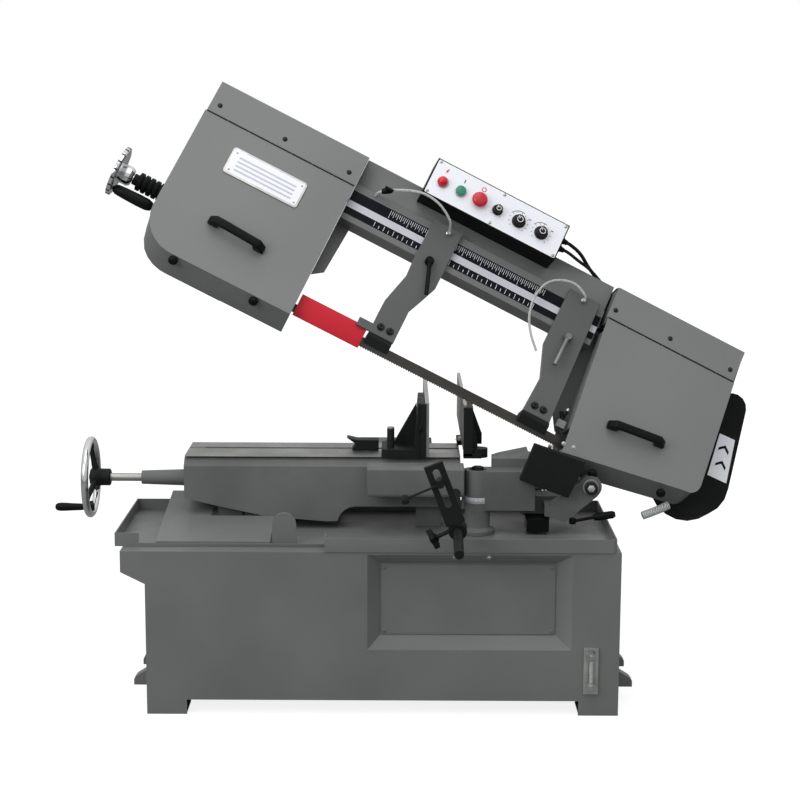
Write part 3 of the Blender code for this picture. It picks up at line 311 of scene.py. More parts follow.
def piece(name, mesh, place, material, body, slot, replaces=(), bevel=0.0, segments=2, smooth=40.0):
    """A piece in the row frame, in metres, that rides on a body."""
    bmesh.ops.transform(mesh, matrix=Matrix.Scale(MM, 4) @ place, verts=mesh.verts)
    bmesh.ops.recalc_face_normals(mesh, faces=mesh.faces)
    data = bpy.data.meshes.new(name)
    mesh.to_mesh(data)
    mesh.free()
    data.materials.append(material)
    data.shade_smooth()
    data.set_sharp_from_angle(angle=radians(smooth))
    made = bpy.data.objects.new(name, data)
    bpy.context.scene.collection.objects.link(made)
    if bevel:
        soften(made, bevel, segments)
    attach(made, body)
    if replaces:
        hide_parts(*replaces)
    return made


def soften(made, width, segments=2):
    rounded = made.modifiers.new("edges", "BEVEL")
    rounded.width = width * MM
    rounded.segments = segments
    rounded.limit_method = "ANGLE"
    rounded.angle_limit = radians(28)
    rounded.harden_normals = True


def extruded(outline, low, high, axis="y"):
    """An outline along an axis: (x, z) along y, (y, z) along x, (x, y) along z."""
    def point(a, b, along):
        if axis == "y":
            return (a, along, b)
        if axis == "x":
            return (along, a, b)
        return (a, b, along)

    made = bmesh.new()
    first = [made.verts.new(point(a, b, low)) for a, b in outline]
    last = [made.verts.new(point(a, b, high)) for a, b in outline]
    made.faces.new(first)
    made.faces.new(list(reversed(last)))
    for i in range(len(outline)):
        k = (i + 1) % len(outline)
        made.faces.new((first[i], last[i], last[k], first[k]))
    return made


def slab(x, y, z):
    return extruded([(x[0], z[0]), (x[1], z[0]), (x[1], z[1]), (x[0], z[1])], y[0], y[1])


def rounded_slab(x, y, z, radius, steps=5):
    """A plate in x and z with round corners."""
    outline = []
    corners = ((x[1] - radius, z[1] - radius, 0), (x[0] + radius, z[1] - radius, 90),
        (x[0] + radius, z[0] + radius, 180), (x[1] - radius, z[0] + radius, 270))
    for cx, cz, start in corners:
        for i in range(steps + 1):
            angle = radians(start + 90 * i / steps)
            outline.append((cx + radius * cos(angle), cz + radius * sin(angle)))
    return extruded(outline, y[0], y[1])


def facing(centre, direction):
    """A frame at a centre with its Z along a direction."""
    turn = Vector(UP).rotation_difference(Vector(direction).normalized())
    return Matrix.Translation(centre) @ turn.to_matrix().to_4x4()


def turned(profile, centre, direction, sides=48):
    """A (radius, height) outline turned about an axis; it may start and end on the axis."""
    made = bmesh.new()
    place = facing(centre, direction)
    rings = []
    for radius, height in profile:
        if radius == 0:
            continue
        row = []
        for i in range(sides):
            angle = 2 * pi * i / sides
            row.append(made.verts.new(place @ Vector((radius * cos(angle), radius * sin(angle),
                height))))
        rings.append(row)
    solid = profile[0][0] == 0
    if solid:
        made.faces.new(rings[0])
        made.faces.new(rings[-1])
    pairs = list(zip(rings, rings[1:])) + ([] if solid else [(rings[-1], rings[0])])
    for lower, upper in pairs:
        for i in range(sides):
            k = (i + 1) % sides
            made.faces.new((lower[i], lower[k], upper[k], upper[i]))
    return made


def cylinder(radius, low, high, centre, direction, sides):
    return turned([(0, low), (radius, low), (radius, high), (0, high)], centre, direction, sides)


def close_round(mesh, rows):
    """Faces between rows of corners, each row a closed loop and the last one next to the first."""
    for first, last in zip(rows, rows[1:] + rows[:1]):
        for k in range(len(first)):
            n = (k + 1) % len(first)
            mesh.faces.new((first[k], last[k], last[n], first[n]))


def absorb(target, extra):
    """Adds one bmesh to another."""
    data = bpy.data.meshes.new("scratch")
    extra.to_mesh(data)
    extra.free()
    target.from_mesh(data)
    bpy.data.meshes.remove(data)
    return target


def gathered(meshes):
    meshes = list(meshes)
    first = meshes[0]
    for extra in meshes[1:]:
        absorb(first, extra)
    return first


def on_bow(name, mesh, material, slot, replaces=(), **looks):
    piece(name, mesh, BOW, material, "bow", slot, replaces, **looks)


def fasteners(name, meshes, place, material, body):
    """Small steel parts on one body, gathered into one piece."""
    piece(name, gathered(meshes), place, material, body, "steel", smooth=50)


def pan_screw(centre, direction, radius=5.0, height=3.2):
    """A domed screw head with a round recess."""
    profile = [(0, -0.6), (radius * 1.25, -0.6), (radius * 1.25, 0.2), (radius, 0.3),
        (radius * 0.94, height * 0.6), (radius * 0.7, height * 0.92), (radius * 0.38, height),
        (radius * 0.3, height * 0.45), (0, height * 0.45)]
    return turned(profile, centre, direction, 20)


def cap_screw(centre, direction, radius=6.5, height=7.0):
    """A cylinder-head screw with a hexagon socket."""
    head = turned([(0, 0), (radius, 0), (radius, height - 0.8), (radius - 0.8, height),
        (radius * 0.55, height), (radius * 0.5, height - 0.3), (radius * 0.5, height * 0.45),
        (0, height * 0.45)], centre, direction, 24)
    washer = cylinder(radius * 1.6, -0.5, 0.6, centre, direction, 24)
    return absorb(head, washer)


def hex_bolt(centre, direction, radius=8.0, height=6.0):
    head = turned([(0, 0), (radius, 0), (radius, height - 1), (radius * 0.88, height), (0, height)],
        centre, direction, 6)
    washer = cylinder(radius * 1.45, -0.4, 1.0, centre, direction, 28)
    return absorb(head, washer)


def smooth_path(points, spacing):
    """Points a given distance apart along a smooth curve through the given points."""
    points = [Vector(p) for p in points]
    padded = [2 * points[0] - points[1], *points, 2 * points[-1] - points[-2]]
    fine = []
    for a, b, c, d in zip(padded, padded[1:], padded[2:], padded[3:]):
        for i in range(24):
            t = i / 24
            fine.append(0.5 * (2 * b + (c - a) * t + (2 * a - 5 * b + 4 * c - d) * t * t
                               + (3 * b - a - 3 * c + d) * t ** 3))
    fine.append(points[-1])
    lengths = [0.0]
    for p, q in zip(fine, fine[1:]):
        lengths.append(lengths[-1] + (q - p).length)
    count = max(2, round(lengths[-1] / spacing))
    even = []
    k = 0
    for i in range(count + 1):
        want = lengths[-1] * i / count
        while k < len(lengths) - 2 and lengths[k + 1] < want:
            k += 1
        span = lengths[k + 1] - lengths[k]
        even.append(fine[k].lerp(fine[k + 1], (want - lengths[k]) / span if span else 0.0))
    return even


def tube(name, points, diameter, place, material, body, replaces=()):
    """A round hose or lead along a smooth route, with closed ends."""
    route = smooth_path(points, diameter * 1.2)
    data = bpy.data.curves.new(name, "CURVE")
    data.dimensions = "3D"
    data.bevel_depth = diameter / 2 * MM
    data.bevel_resolution = 5
    data.use_fill_caps = True
    data.materials.append(material)
    line = data.splines.new("POLY")
    line.points.add(len(route) - 1)
    for spot, where in zip(line.points, route):
        spot.co = (*((place @ where) * MM), 1.0)
    line.use_smooth = True
    made = bpy.data.objects.new(name, data)
    bpy.context.scene.collection.objects.link(made)
    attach(made, body)
    if replaces:
        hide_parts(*replaces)
    return made


# ---- CAD nodes that are kept or softened

NODE_LOOKS = {
    "base_cabinet": (GREY, 2.0), "front_access_panel": (GREY, 0.8), "coolant_tray": (GREY, 0.9),
    "bed_casting": (CASTING, 2.2), "swivel_post": (CASTING, 1.2), "coolant_pump": (BLACK_IRON, 1.5),
    "movable_jaw": (BLACK_IRON, 1.6), "movable_jaw_plate": (STEEL, 0.7), "vise_nut": (BLACK_IRON, 1.2),
    "fixed_jaw": (BLACK_IRON, 1.6), "fixed_jaw_plate": (STEEL, 0.7), "vise_screw": (STEEL, 0.4),
    "swivel_arm": (CASTING, 2.0), "outfeed_ledge": (CASTING, 1.5), "head_pivot_shaft": (BOLT, 0.8),
    "swivel_lock_lever": (PLASTIC, 0.8), "stop_rod": (BLACK_IRON, 0.8), "stop_arm": (BLACK_IRON, 1.0),
    "bow_beam": (GREY, 1.4), "left_wheel_box": (GREY, 1.0), "right_wheel_box": (GREY, 1.0),
    "left_top_guard": (PAINTED_LIGHT_DOORS, 0.8), "right_top_guard": (PAINTED_LIGHT_DOORS, 0.8), "left_door": (PAINTED_LIGHT_DOORS, 1.0),
    "right_door": (PAINTED_LIGHT_DOORS, 1.0), "left_door_handle": (PLASTIC, 1.2),
    "right_door_handle": (PLASTIC, 1.2), "idler_wheel": (WHEEL_IRON, 1.0),
    "drive_wheel": (WHEEL_IRON, 1.0),
    "left_guide_arm": (SHADED_ARM_GREY, 1.6), "right_guide_arm": (SHADED_ARM_GREY, 1.6),
    "left_guide_block": (BLACK_IRON, 1.2),
    "right_guide_block": (BLACK_IRON, 1.2), "left_arm_lever": (PLASTIC, 0.8),
    "right_arm_lever": (DULL_STEEL, 0.8), "blade_shield": (BLACK_IRON, 1.4),
    "gear_case": (MOTOR, 3.0), "belt_guard": (GUARD_BLACK, 2.4), "gear_pulley": (STEEL, 0.6),
    "motor_pulley": (STEEL, 0.6), "tension_carriage": (CASTING, 1.5), "control_box": (PLASTIC, 1.4),
    "feed_cylinder": (BOLT, 0.8), "feed_rod": (CHROME, 0.5), "level_gauge": (BOLT, 0.6),
}


def slot_of(node):
    for entry in frame["record"]["subparts"]:
        if entry["node"] == node:
            return entry["material_slot"]
    return frame["record"]["materials"][0]["slot"]


def body_of(node):
    for body, nodes in frame["record"]["behaviour"]["bodies"].items():
        if node in nodes:
            return body
    return None


def softened(node, material, width):
    """The CAD node's own shape with welded corners, rounded edges and smooth shading."""
    mesh = bmesh.new()
    mesh.from_mesh(frame["nodes"][node].data)
    bmesh.ops.remove_doubles(mesh, verts=mesh.verts, dist=0.00002)
    bmesh.ops.dissolve_limit(mesh, angle_limit=radians(1.0), verts=mesh.verts, edges=mesh.edges)
    bmesh.ops.transform(mesh, matrix=Matrix.Scale(1 / MM, 4), verts=mesh.verts)
    return piece(node + "_finished", mesh, Matrix.Identity(4), material, body_of(node), slot_of(node),
        (node,), width, 2, 35.0)


def finish_nodes():
    for node, (material, width) in NODE_LOOKS.items():
        softened(node, material, width)


# ---- handwheels

def torus(centre, axis, radius, thickness, around=96, section=18):
    made = bmesh.new()
    place = facing(centre, axis)
    rows = []
    for i in range(around):
        a = 2 * pi * i / around
        row = []
        for k in range(section):
            b = 2 * pi * k / section
            reach = radius + thickness * cos(b)
            row.append(made.verts.new(place @ Vector((reach * cos(a), reach * sin(a),
                thickness * sin(b)))))
        rows.append(row)
    close_round(made, rows)
    return made


def vise_wheel():
    """Handwheel: chromed rim, black spokes, hub with its screw, and the crank's boss."""
    x, y, z = VISE_WHEEL_X, SCREW[1], SCREW[2]
    piece("vise_wheel_rim", torus((x, y, z), RIGHT, 91, 9), MACHINE, CHROME, "vise_drive", "chrome",
        smooth=50)
    parts = [turned([(10.3, 0), (21, 0), (21, 22), (18, 24), (10.3, 24)], (x + 25, y, z), RIGHT)]
    parts.append(turned([(10.3, -3), (19, -3), (22, 0), (23, 8), (23, 20), (20, 25), (10.3, 25)],
        (x + 2, y, z), RIGHT))
    parts.append(turned([(0, -5), (8, -5), (9, -3.2), (9, 1), (0, 1)], (x + 1, y, z), RIGHT, 6))
    for i in range(3):
        a = radians(90 + 120 * i)
        start = Vector((x + 12, y + 16 * cos(a), z + 16 * sin(a)))
        end = Vector((x, y + 86 * cos(a), z + 86 * sin(a)))
        length = (end - start).length
        parts.append(turned([(0, 0), (8.5, 0), (7, length * 0.4), (6.2, length * 0.75), (8, length),
            (0, length)], start, end - start, 24))
    boss = (x, y, z - 70)
    parts.append(turned([(0, -4), (9, -4), (10, 2), (9, 13), (7, 15.5), (0, 15.5)], boss, (-1, 0, -0.25),
        32))
    parts.append(turned([(0, 0), (7, 0), (6.4, 22), (0, 22)], boss, (0, 0, -1), 24))
    piece("vise_handwheel_finished", gathered(parts), MACHINE, BLACK_IRON, "vise_drive", "chrome",
        ("vise_handwheel",), smooth=50)
    centre = (x - 16.3, y, z - 76)
    grip = [(0, 0), (6, 0), (6.5, 3), (8, 5), (8.6, 12), (9.2, 30), (10.2, 48), (10.5, 60), (9.4, 68),
        (6.5, 72.5), (3, 73.8), (0, 73.8)]
    piece("crank_grip", turned(grip, centre, LEFT, 40), MACHINE, PLASTIC, "crank", "black_plastic",
        ("crank_handle",), smooth=50)


def tension_wheel():
    """Tension handwheel, its washers and screw."""
    disc = [(0, 0), (9, 0), (11, 2), (19, 3), (21, 6), (50, 8), (54, 6.2), (58, 5.6), (61, 7), (62, 10),
        (61.4, 14), (59, 17), (55, 18.4), (47, 17.6), (22, 16), (22, 20), (24, 24), (24, 42), (20, 48),
        (9, 50), (9, 340), (0, 340)]
    piece("tension_handwheel_finished", turned(disc, TENSION, RIGHT, 64), BOW, CHROME, "tension_screw",
        "chrome", ("tension_handwheel",), smooth=30)
    housing = [(9.1, 52), (14, 52), (14, 62)]
    for i in range(5):
        start = 64 + 14 * i
        housing += [(21, start), (23, start + 1.5), (23, start + 8.5), (22, start + 10.5),
            (17.5, start + 11.2), (17.5, start + 13.6)]
    housing += [(14, 136), (9.1, 137)]
    piece("tension_spring_cover", turned(housing, TENSION, RIGHT, 56), BOW, PLASTIC,
        "tension_screw", "black_plastic", smooth=30)
    low_rim = (TENSION[0] + 18, TENSION[1], TENSION[2] - 44)
    grip = [(0, 0), (5, 0), (5, 3), (9, 4), (12.6, 12), (14, 34), (15, 70), (14.5, 92), (11, 103),
        (5, 107), (0, 107)]
    piece("tension_wheel_grip", turned(grip, low_rim, RIGHT, 40), BOW, PLASTIC, "tension_screw",
        "black_plastic", smooth=50)
    notches = []
    for i in range(18):
        a = 2 * pi * i / 18
        notches.append(cylinder(3.2, 0, 9, (TENSION[0] + 7, TENSION[1] + 59.5 * cos(a),
            TENSION[2] + 59.5 * sin(a)), RIGHT, 12))
    piece("tension_wheel_grips", gathered(notches), BOW, DARK_BOLT, "tension_screw", "chrome")


# ---- blade

def blade_stations():
    """Centre, width direction, thickness direction and tooth depth at each place round the blade."""
    seat = WHEEL_R + 0.3 + BLADE_THICK / 2
    cut = (-BLADE_WIDTH / 2 * sin(CANT), BLADE_WIDTH / 2 * cos(CANT))
    cut_turn = atan2(cos(CANT), -sin(CANT))
    low = WHEEL_Z - seat
    found = []

    def lower(x, share, depth):
        ease = share * share * (3 - 2 * share)
        turn = pi + (cut_turn - pi) * ease
        side = BLADE_ON_WHEEL_Y + (cut[0] - BLADE_ON_WHEEL_Y) * ease
        centre = Vector((x, side, low + (cut[1] - low) * ease))
        wide = Vector((0, cos(turn), sin(turn)))
        found.append((centre, wide, Vector((0, -sin(turn), cos(turn))), depth))

    x = IDLER_X + 12
    start, first, last, end = x, -660.0, -112.0, DRIVE_X - 10
    while x < end - TOOTH_PITCH:
        for step, depth in ((0.0, 0.0), (0.12, 2.6), (0.55, 2.0)):
            spot = x + TOOTH_PITCH * step
            if spot < first:
                share = (spot - start) / (first - start)
            elif spot > last:
                share = (end - spot) / (end - last)
            else:
                share = 1.0
            lower(spot, share, depth)
        x += TOOTH_PITCH
    for centre_x, begin in ((DRIVE_X, -90), (IDLER_X, 90)):
        for i in range(65):
            a = radians(begin + 180 * i / 64)
            out = Vector((cos(a), 0, sin(a)))
            middle = Vector((centre_x, BLADE_ON_WHEEL_Y, WHEEL_Z))
            found.append((middle + out * seat, Vector(FRONT), out, 1.5))
    return found


def saw_blade():
    mesh = bmesh.new()
    rows = []
    for centre, wide, thick, depth in blade_stations():
        back, front = wide * BLADE_WIDTH / 2, wide * (BLADE_WIDTH / 2 - depth)
        half = thick * BLADE_THICK / 2
        rows.append([mesh.verts.new(centre + p) for p in (back - half, back + half, -front + half,
            -front - half)])
    close_round(mesh, rows)
    on_bow("saw_blade_toothed", mesh, BLADE, "blade_steel", ("saw_blade",), smooth=25)


def drive_belt():
    """V-belt round the two pulleys inside the belt guard."""
    low, high = Vector((238.0, 100.0)), Vector((262.0, 318.0))
    outline = []
    lean = degrees(atan2((high - low).y, (high - low).x))
    for centre, radius, begin in ((high, 22.0, lean - 80), (low, 60.0, lean + 100)):
        sweep = 160 if radius == 22.0 else 200
        for i in range(25):
            a = radians(begin + sweep * i / 24)
            outline.append(centre + Vector((cos(a), sin(a))) * radius)
    mesh = bmesh.new()
    middle = (low + high) / 2
    rows = []
    for spot in outline:
        out = (spot - middle).normalized()
        row = []
        for across, up in ((-6.5, 2.0), (6.5, 2.0), (4.5, -5.0), (-4.5, -5.0)):
            place = spot + out * up
            row.append(mesh.verts.new((place.x, 76.0 + across, place.y)))
        rows.append(row)
    close_round(mesh, rows)
    on_bow("drive_belt", mesh, RUBBER, "cable_black")


# ---- rule and panel

def rule():
    """Two-scale rule on the guide rail: black bands with pale marks beside a silver band."""
    left, right = -815.0, -139.0
    back, front = RAIL_FRONT - 0.02, RAIL_FRONT - 0.14
    on_bow("rule_lower_band", slab((left, right), (front, back), (281, 299.4)), INK, "dial_black")
    on_bow("rule_upper_band", slab((left, right), (front, back), (317.6, 345)), INK, "dial_black")
    on_bow("rule_silver_band", slab((left, right), (front, back), (299.4, 317.6)), RULE_SILVER, "steel")
    marks = []
    front_marks = (front - 0.08, front)
    first, last = -735.0, -290.0
    for i in range(int((last - first) / HALF_INCH)):
        x = first + i * HALF_INCH
        top = 296.5 if i % 2 == 0 else 291.5
        marks.append(slab((x - 0.6, x + 0.6), front_marks, (283.5, top)))
    first, last = -712.0, -285.0
    for i in range(int((last - first) / 5)):
        x = first + i * 5
        bottom = 320.5 if i % 10 == 0 else (326.0 if i % 2 == 0 else 331.0)
        marks.append(slab((x - 0.5, x + 0.5), front_marks, (bottom, 342.0)))
    on_bow("rule_marks", gathered(marks), MARK_WHITE, "steel")


def control_panel():
    """White panel face, its screws, printed symbols, button bezels and the pilot lamp."""
    face = rounded_slab((-665, -312), (PANEL_FRONT - 0.8, PANEL_FRONT - 0.02), (403, 497), 4)
    on_bow("panel_face", face, FACE, "steel", bevel=0.3)
    places = [(-659, 408), (-659, 492), (-318, 408), (-318, 492), (-486, 492), (-490, 408)]
    screws = [pan_screw((x, PANEL_FRONT - 0.8, z), FRONT, 3.6, 2.4) for x, z in places]
    fasteners("panel_screws", screws, BOW, BOLT, "bow")

    ink_y = (PANEL_FRONT - 1.0, PANEL_FRONT - 0.78)
    marks = []
    for x, reach in ((-486, 17), (-428, 24), (-367, 24)):
        for i in range(11):
            if x == -486 and i % 5:
                continue
            a = radians(225 - 27 * i)
            cx, cz = x + reach * cos(a), CONTROL_Z + reach * sin(a)
            marks.append(cylinder(1.2, 0, 0.2, (cx, PANEL_FRONT - 0.8, cz), FRONT, 12))
        sweep = [(x + (reach + 4) * cos(radians(150 - 6 * i)),
            CONTROL_Z + (reach + 4) * sin(radians(150 - 6 * i))) for i in range(13)]
        inner = [(x + (reach + 2.6) * cos(radians(78 + 6 * i)),
            CONTROL_Z + (reach + 2.6) * sin(radians(78 + 6 * i))) for i in range(13)]
        if x != -486:
            marks.append(extruded(sweep + inner, *ink_y))
    marks.append(slab((-587.2, -584.8), ink_y, (470, 480)))
    for x in (-428, -367):
        marks.append(slab((x + 20, x + 27), ink_y, (CONTROL_Z + 17, CONTROL_Z + 19)))
    on_bow("panel_symbols", gathered(marks), INK, "dial_black")
    stop_mark = turned([(4.2, 0), (6.2, 0), (6.2, 0.2), (4.2, 0.2)], (-536, PANEL_FRONT - 0.8, 479),
        FRONT, 40)
    bolt_mark = extruded([(-634, 484), (-639, 476), (-635.5, 476.6), (-638, 469), (-631, 478.4),
        (-634.4, 477.6), (-631, 484)], *ink_y)
    on_bow("panel_red_symbols", absorb(stop_mark, bolt_mark), BUTTON_RED, "button_red")
    for x, radius in ((-635, 15.5), (-586, 15), (-536, 14)):
        rise = 0.7 if radius == 14 else 2.2
        bezel = turned([(12.9, 0), (radius + 0.5, 0), (radius + 0.5, rise / 2), (radius - 0.6, rise),
            (12.9, rise)], (x, PANEL_FRONT - 0.8, CONTROL_Z), FRONT, 64)
        on_bow(f"bezel_{abs(x)}", bezel, BOLT, "dial_black", smooth=50)
    lamp = turned([(0, 0), (12.4, 0), (13, 1.6), (12.4, 5.5), (10.6, 9.5), (7.5, 12.4), (3.8, 14),
        (1.2, 14.4), (0, 14.4)], (-635, PANEL_FRONT - 2, CONTROL_Z), FRONT, 64)
    on_bow("pilot_lamp", lamp, LAMP_RED, "button_red", smooth=60)


def push_button(node, x, profile, material, body, slot):
    mesh = turned(profile, (x, PANEL_FRONT, CONTROL_Z), FRONT, 64)
    piece(node + "_finished", mesh, BOW, material, body, slot, (node,), smooth=50)


def dial(node, x, size, body):
    """Knob with a finger-grip edge, a silver insert and a pointer line."""
    mesh = turned([(0, -12), (7.2, -12), (7.2, 2.4), (size, 2.4), (size, 5), (size * 0.94, 6.2),
        (size * 0.78, 6.8), (size * 0.72, 17), (size * 0.66, 18.2), (0, 18.2)],
        (x, PANEL_FRONT, CONTROL_Z), FRONT, 64)
    for i in range(20):
        a = 2 * pi * i / 20
        reach = size * 0.73
        absorb(mesh, cylinder(1.1, 7, 17.2, (x + reach * cos(a), PANEL_FRONT,
            CONTROL_Z + reach * sin(a)), FRONT, 8))
    piece(node + "_finished", mesh, BOW, DIAL_BLACK, body, "dial_black", (node,), smooth=50)
    top = PANEL_FRONT - 18.2
    insert = turned([(size * 0.36, 0), (size * 0.46, 0), (size * 0.46, 0.4), (size * 0.36, 0.4)],
        (x, top, CONTROL_Z), FRONT, 48)
    lean = Matrix.Translation((x, 0, CONTROL_Z)) @ Matrix.Rotation(radians(-40), 4, "Y")
    pointer = slab((-0.9, 0.9), (top - 0.4, top + 0.1), (size * 0.1, size * 0.62))
    bmesh.ops.transform(pointer, matrix=lean, verts=pointer.verts)
    piece(node + "_pointer", absorb(insert, pointer), BOW, MARK_WHITE, body, "steel")


def controls():
    push_button("start_button", -586, [(0, -10), (7.2, -10), (7.2, 4.9), (12.3, 5), (12.5, 8), (12, 10),
        (10.6, 10.9), (0, 11)], BUTTON_GREEN, "start", "button_green")
    push_button("stop_button", -536, [(0, -10), (7.2, -10), (7.2, 5.9), (17, 8.2), (19, 10), (19, 13),
        (17.8, 16), (14.5, 18.6), (9, 20.4), (3, 21), (0, 21)], BUTTON_RED, "stop", "button_red")
    dial("mode_selector", -486, 13.3, "mode")
    dial("speed_dial", -428, 17, "speed")
    dial("feed_dial", -367, 17, "feed")


# ---- trim on the bow

def name_plate():
    """Plain plate on the left door: bright frame, pale field, four rivets and embossed lines."""
    x, z = (-1113, -918), (221, 292)
    front = DOOR_FRONT
    piece("plate_frame", rounded_slab(x, (front - 2.6, front - 0.05), z, 8), BOW, BOLT, "left_door_body",
        "steel", bevel=0.8)
    piece("plate_field", rounded_slab((x[0] + 5, x[1] - 5), (front - 3.0, front - 2.5),
        (z[0] + 5, z[1] - 5), 5), BOW, FACE, "left_door_body", "steel", bevel=0.2)
    bars = [rounded_slab((x[0] + 22, x[1] - 22), (front - 3.6, front - 2.9), (low, low + 4),
        2) for low in (236, 247, 258, 269)]
    piece("plate_lines", gathered(bars), BOW, RULE_SILVER, "left_door_body", "steel", bevel=0.2)
    rivets = [pan_screw((a, front - 3.0, b), FRONT, 2.4, 1.6) for a in (x[0] + 12,
        x[1] - 12) for b in (z[0] + 12, z[1] - 12)]
    fasteners("plate_rivets", rivets, BOW, BOLT, "left_door_body")


def blade_guard():
    """Folded red guard: upright front, a return along its top and a lower part bent in to the blade."""
    fold = [(-22, 16), (-22, 46), (12, 46), (12, 27), (9, 27), (9, 43), (-19, 43), (-19, 16.5), (-9, -8),
        (-12, -8)]
    piece("blade_guard_folded", extruded(fold, -812, -640, "x"), BOW, RED, "left_guide", "guard_red",
        ("blade_guard",), 0.5, 2, 25)


def pivot_trim():
    """Washer and bright centre on the pivot shaft, and the bright screws at the right door's corner."""
    washer = turned([(0, 0), (16, 0), (16, 3), (10, 4), (0, 4)], PIVOT + Vector((0, -64.0, 0)), FRONT,
        40)
    piece("pivot_washer", washer, MACHINE, DARK_BOLT, "swivel", "steel", smooth=50)
    centre = turned([(0, 0), (9, 0), (9, 2.4), (7.4, 3.2), (0, 3.2)], PIVOT + Vector((0, -67.6, 0)),
        FRONT, 6)
    piece("pivot_nut", centre, MACHINE, BOLT, "swivel", "steel", smooth=40)
    screws = [pan_screw((x, DOOR_FRONT, z), FRONT, 4.2, 3.0) for x, z in ((-104, 2), (-78, 5))]
    fasteners("door_corner_screws", screws, BOW, BOLT, "right_door_body")


def guard_screws():
    screws = [pan_screw((x, DOOR_FRONT, GUARD_SCREW_Z), FRONT, 5.0, 3.0) for x in GUARD_SCREW_X]
    fasteners("guard_screws", screws, BOW, DARK_BOLT, "bow")
    tops = [pan_screw((x, 14, GUARD_TOP_Z), UP, 4.6, 2.6) for x in GUARD_SCREW_X]
    fasteners("guard_top_screws", tops, BOW, DARK_BOLT, "bow")


def hinge_knuckles():
    """Piano-hinge barrels along the seam between each door and its top guard."""
    for body, low, high in (("left_door_body", -1212, -820), ("right_door_body", -127, 219)):
        count = 7
        step = (high - low) / count
        barrels = []
        for i in range(count):
            start = low + step * i + 1
            barrels.append(cylinder(2.0, 0, step - 2, (start, DOOR_FRONT + 0.2, HINGE_Z), RIGHT, 16))
        fasteners(body + "_hinge", barrels, BOW, DARK_BOLT, body)


def door_knobs():
    """Clamp knobs under each door, with their stems."""
    for body, spots in (("left_door_body", (-1115, -907)), ("right_door_body", (-10, 160))):
        knobs = []
        for x in spots:
            foot = Vector((x, -27.0, -19.0 + max(0.0, x) * 0.22))
            along = Vector((0, -0.45, -0.9))
            knobs.append(cylinder(4, 0, 6, foot, along, 20))
            knobs.append(turned([(0, 5), (7, 5), (10.5, 8), (11.4, 13), (10.4, 17), (7, 19.5), (0, 20)],
                foot, along, 40))
        piece(body + "_knobs", gathered(knobs), BOW, PLASTIC, body, "black_plastic", smooth=50)


def arm_bolts():
    for body, spots in (("left_guide", ((-613, 58), (-589, 58))),
            ("right_guide", ((-202, 58), (-179, 58)))):
        bolts = [cap_screw((x, ARM_FRONT, z), FRONT, 6.2, 6.5) for x, z in spots]
        fasteners(body + "_bolts", bolts, BOW, DARK_BOLT, body)


def tubes():
    """Coolant tubes with their valve and nipples, and the control cables."""
    tube("left_coolant_tube_finished", [(-764, -18.6, 356), (-758, -34, 364), (-724, -54, 380),
        (-669, -72, 395), (-620, -82, 386), (-580, -72, 366), (-568, -50, 354), (-566, -32.2, 350)], 6.0,
        BOW, TUBE, "left_guide", ("left_coolant_tube",))
    tube("right_coolant_tube_finished", [(-199, -32.4, 356), (-201, -46, 364), (-237, -50, 378),
        (-276, -48, 368), (-302, -44, 344), (-312, -40, 300), (-305, -40, 254), (-284, -34, 218),
        (-252, -25, 186)], 6.0, BOW, TUBE, "right_guide", ("right_coolant_tube",))
    tube("control_cable_finished", [(-308.4, -34, 472), (-284, -32, 473), (-250, -18, 470),
        (-214, 4, 458), (-176, 26, 450), (-130, 52, 444), (-40, 92, 424), (70, 120, 402),
        (150, 146, 390), (176, 158, 389), (198, 164, 388)], 9.0, BOW, RUBBER, "bow",
        ("control_cable",))
    tube("switch_cable", [(-308.4, -34, 450), (-284, -34, 451), (-250, -24, 449), (-214, -8, 450),
        (-180, 12, 446.6), (-150, 36, 442), (-128, 44, 410), (-118, 40, 360), (-112, 36, 300)], 8.0, BOW,
        RUBBER, "bow")
    nipple = [(0, 0), (5.5, 0), (5.5, 6), (4, 7), (4, 12), (0, 12)]
    fasteners("left_nipple", [turned(nipple, (-566, ARM_FRONT, 350), FRONT, 24)], BOW, BOLT,
        "left_guide")
    valve = gathered([turned([(0, -12), (6, -12), (7, -8), (7, 8), (6, 12), (0, 12)], (-744, -42, 371),
        (1, -0.4, 0.5), 24), cylinder(2.5, 0, 10, (-744, -48, 371), FRONT, 16),
        cylinder(4, 0, 22, (-752, -58, 371), RIGHT, 16)])
    piece("coolant_valve", valve, BOW, PLASTIC, "left_guide", "black_plastic", smooth=50)
    fasteners("right_nipple", [turned(nipple, (-199, ARM_FRONT, 356), FRONT, 24)], BOW, BOLT,
        "right_guide")
    glands = []
    for z in (472, 450):
        glands.append(turned([(0, 0), (9, 0), (9, 5), (7, 8), (5.6, 16), (0, 16)], (-309, -34, z), RIGHT,
            24))
    on_bow("cable_glands", gathered(glands), PLASTIC, "black_plastic", smooth=50)


def guard_label():
    """Plain pale label with two dark chevrons on the belt guard."""
    plate = extruded([(256, 238), (298, 240), (318, 128), (266, 126)], 33.0, 33.9)
    on_bow("belt_label", plate, FACE, "steel", bevel=0.2)
    chevrons = []
    for z in (150, 190):
        x = 288 - (z - 150) * 0.18
        chevrons.append(extruded([(x - 14, z + 14), (x, z + 26), (x + 14, z + 14), (x + 14, z + 6),
            (x, z + 18), (x - 14, z + 6)], 32.7, 33.05))
    on_bow("belt_label_marks", gathered(chevrons), INK, "dial_black")


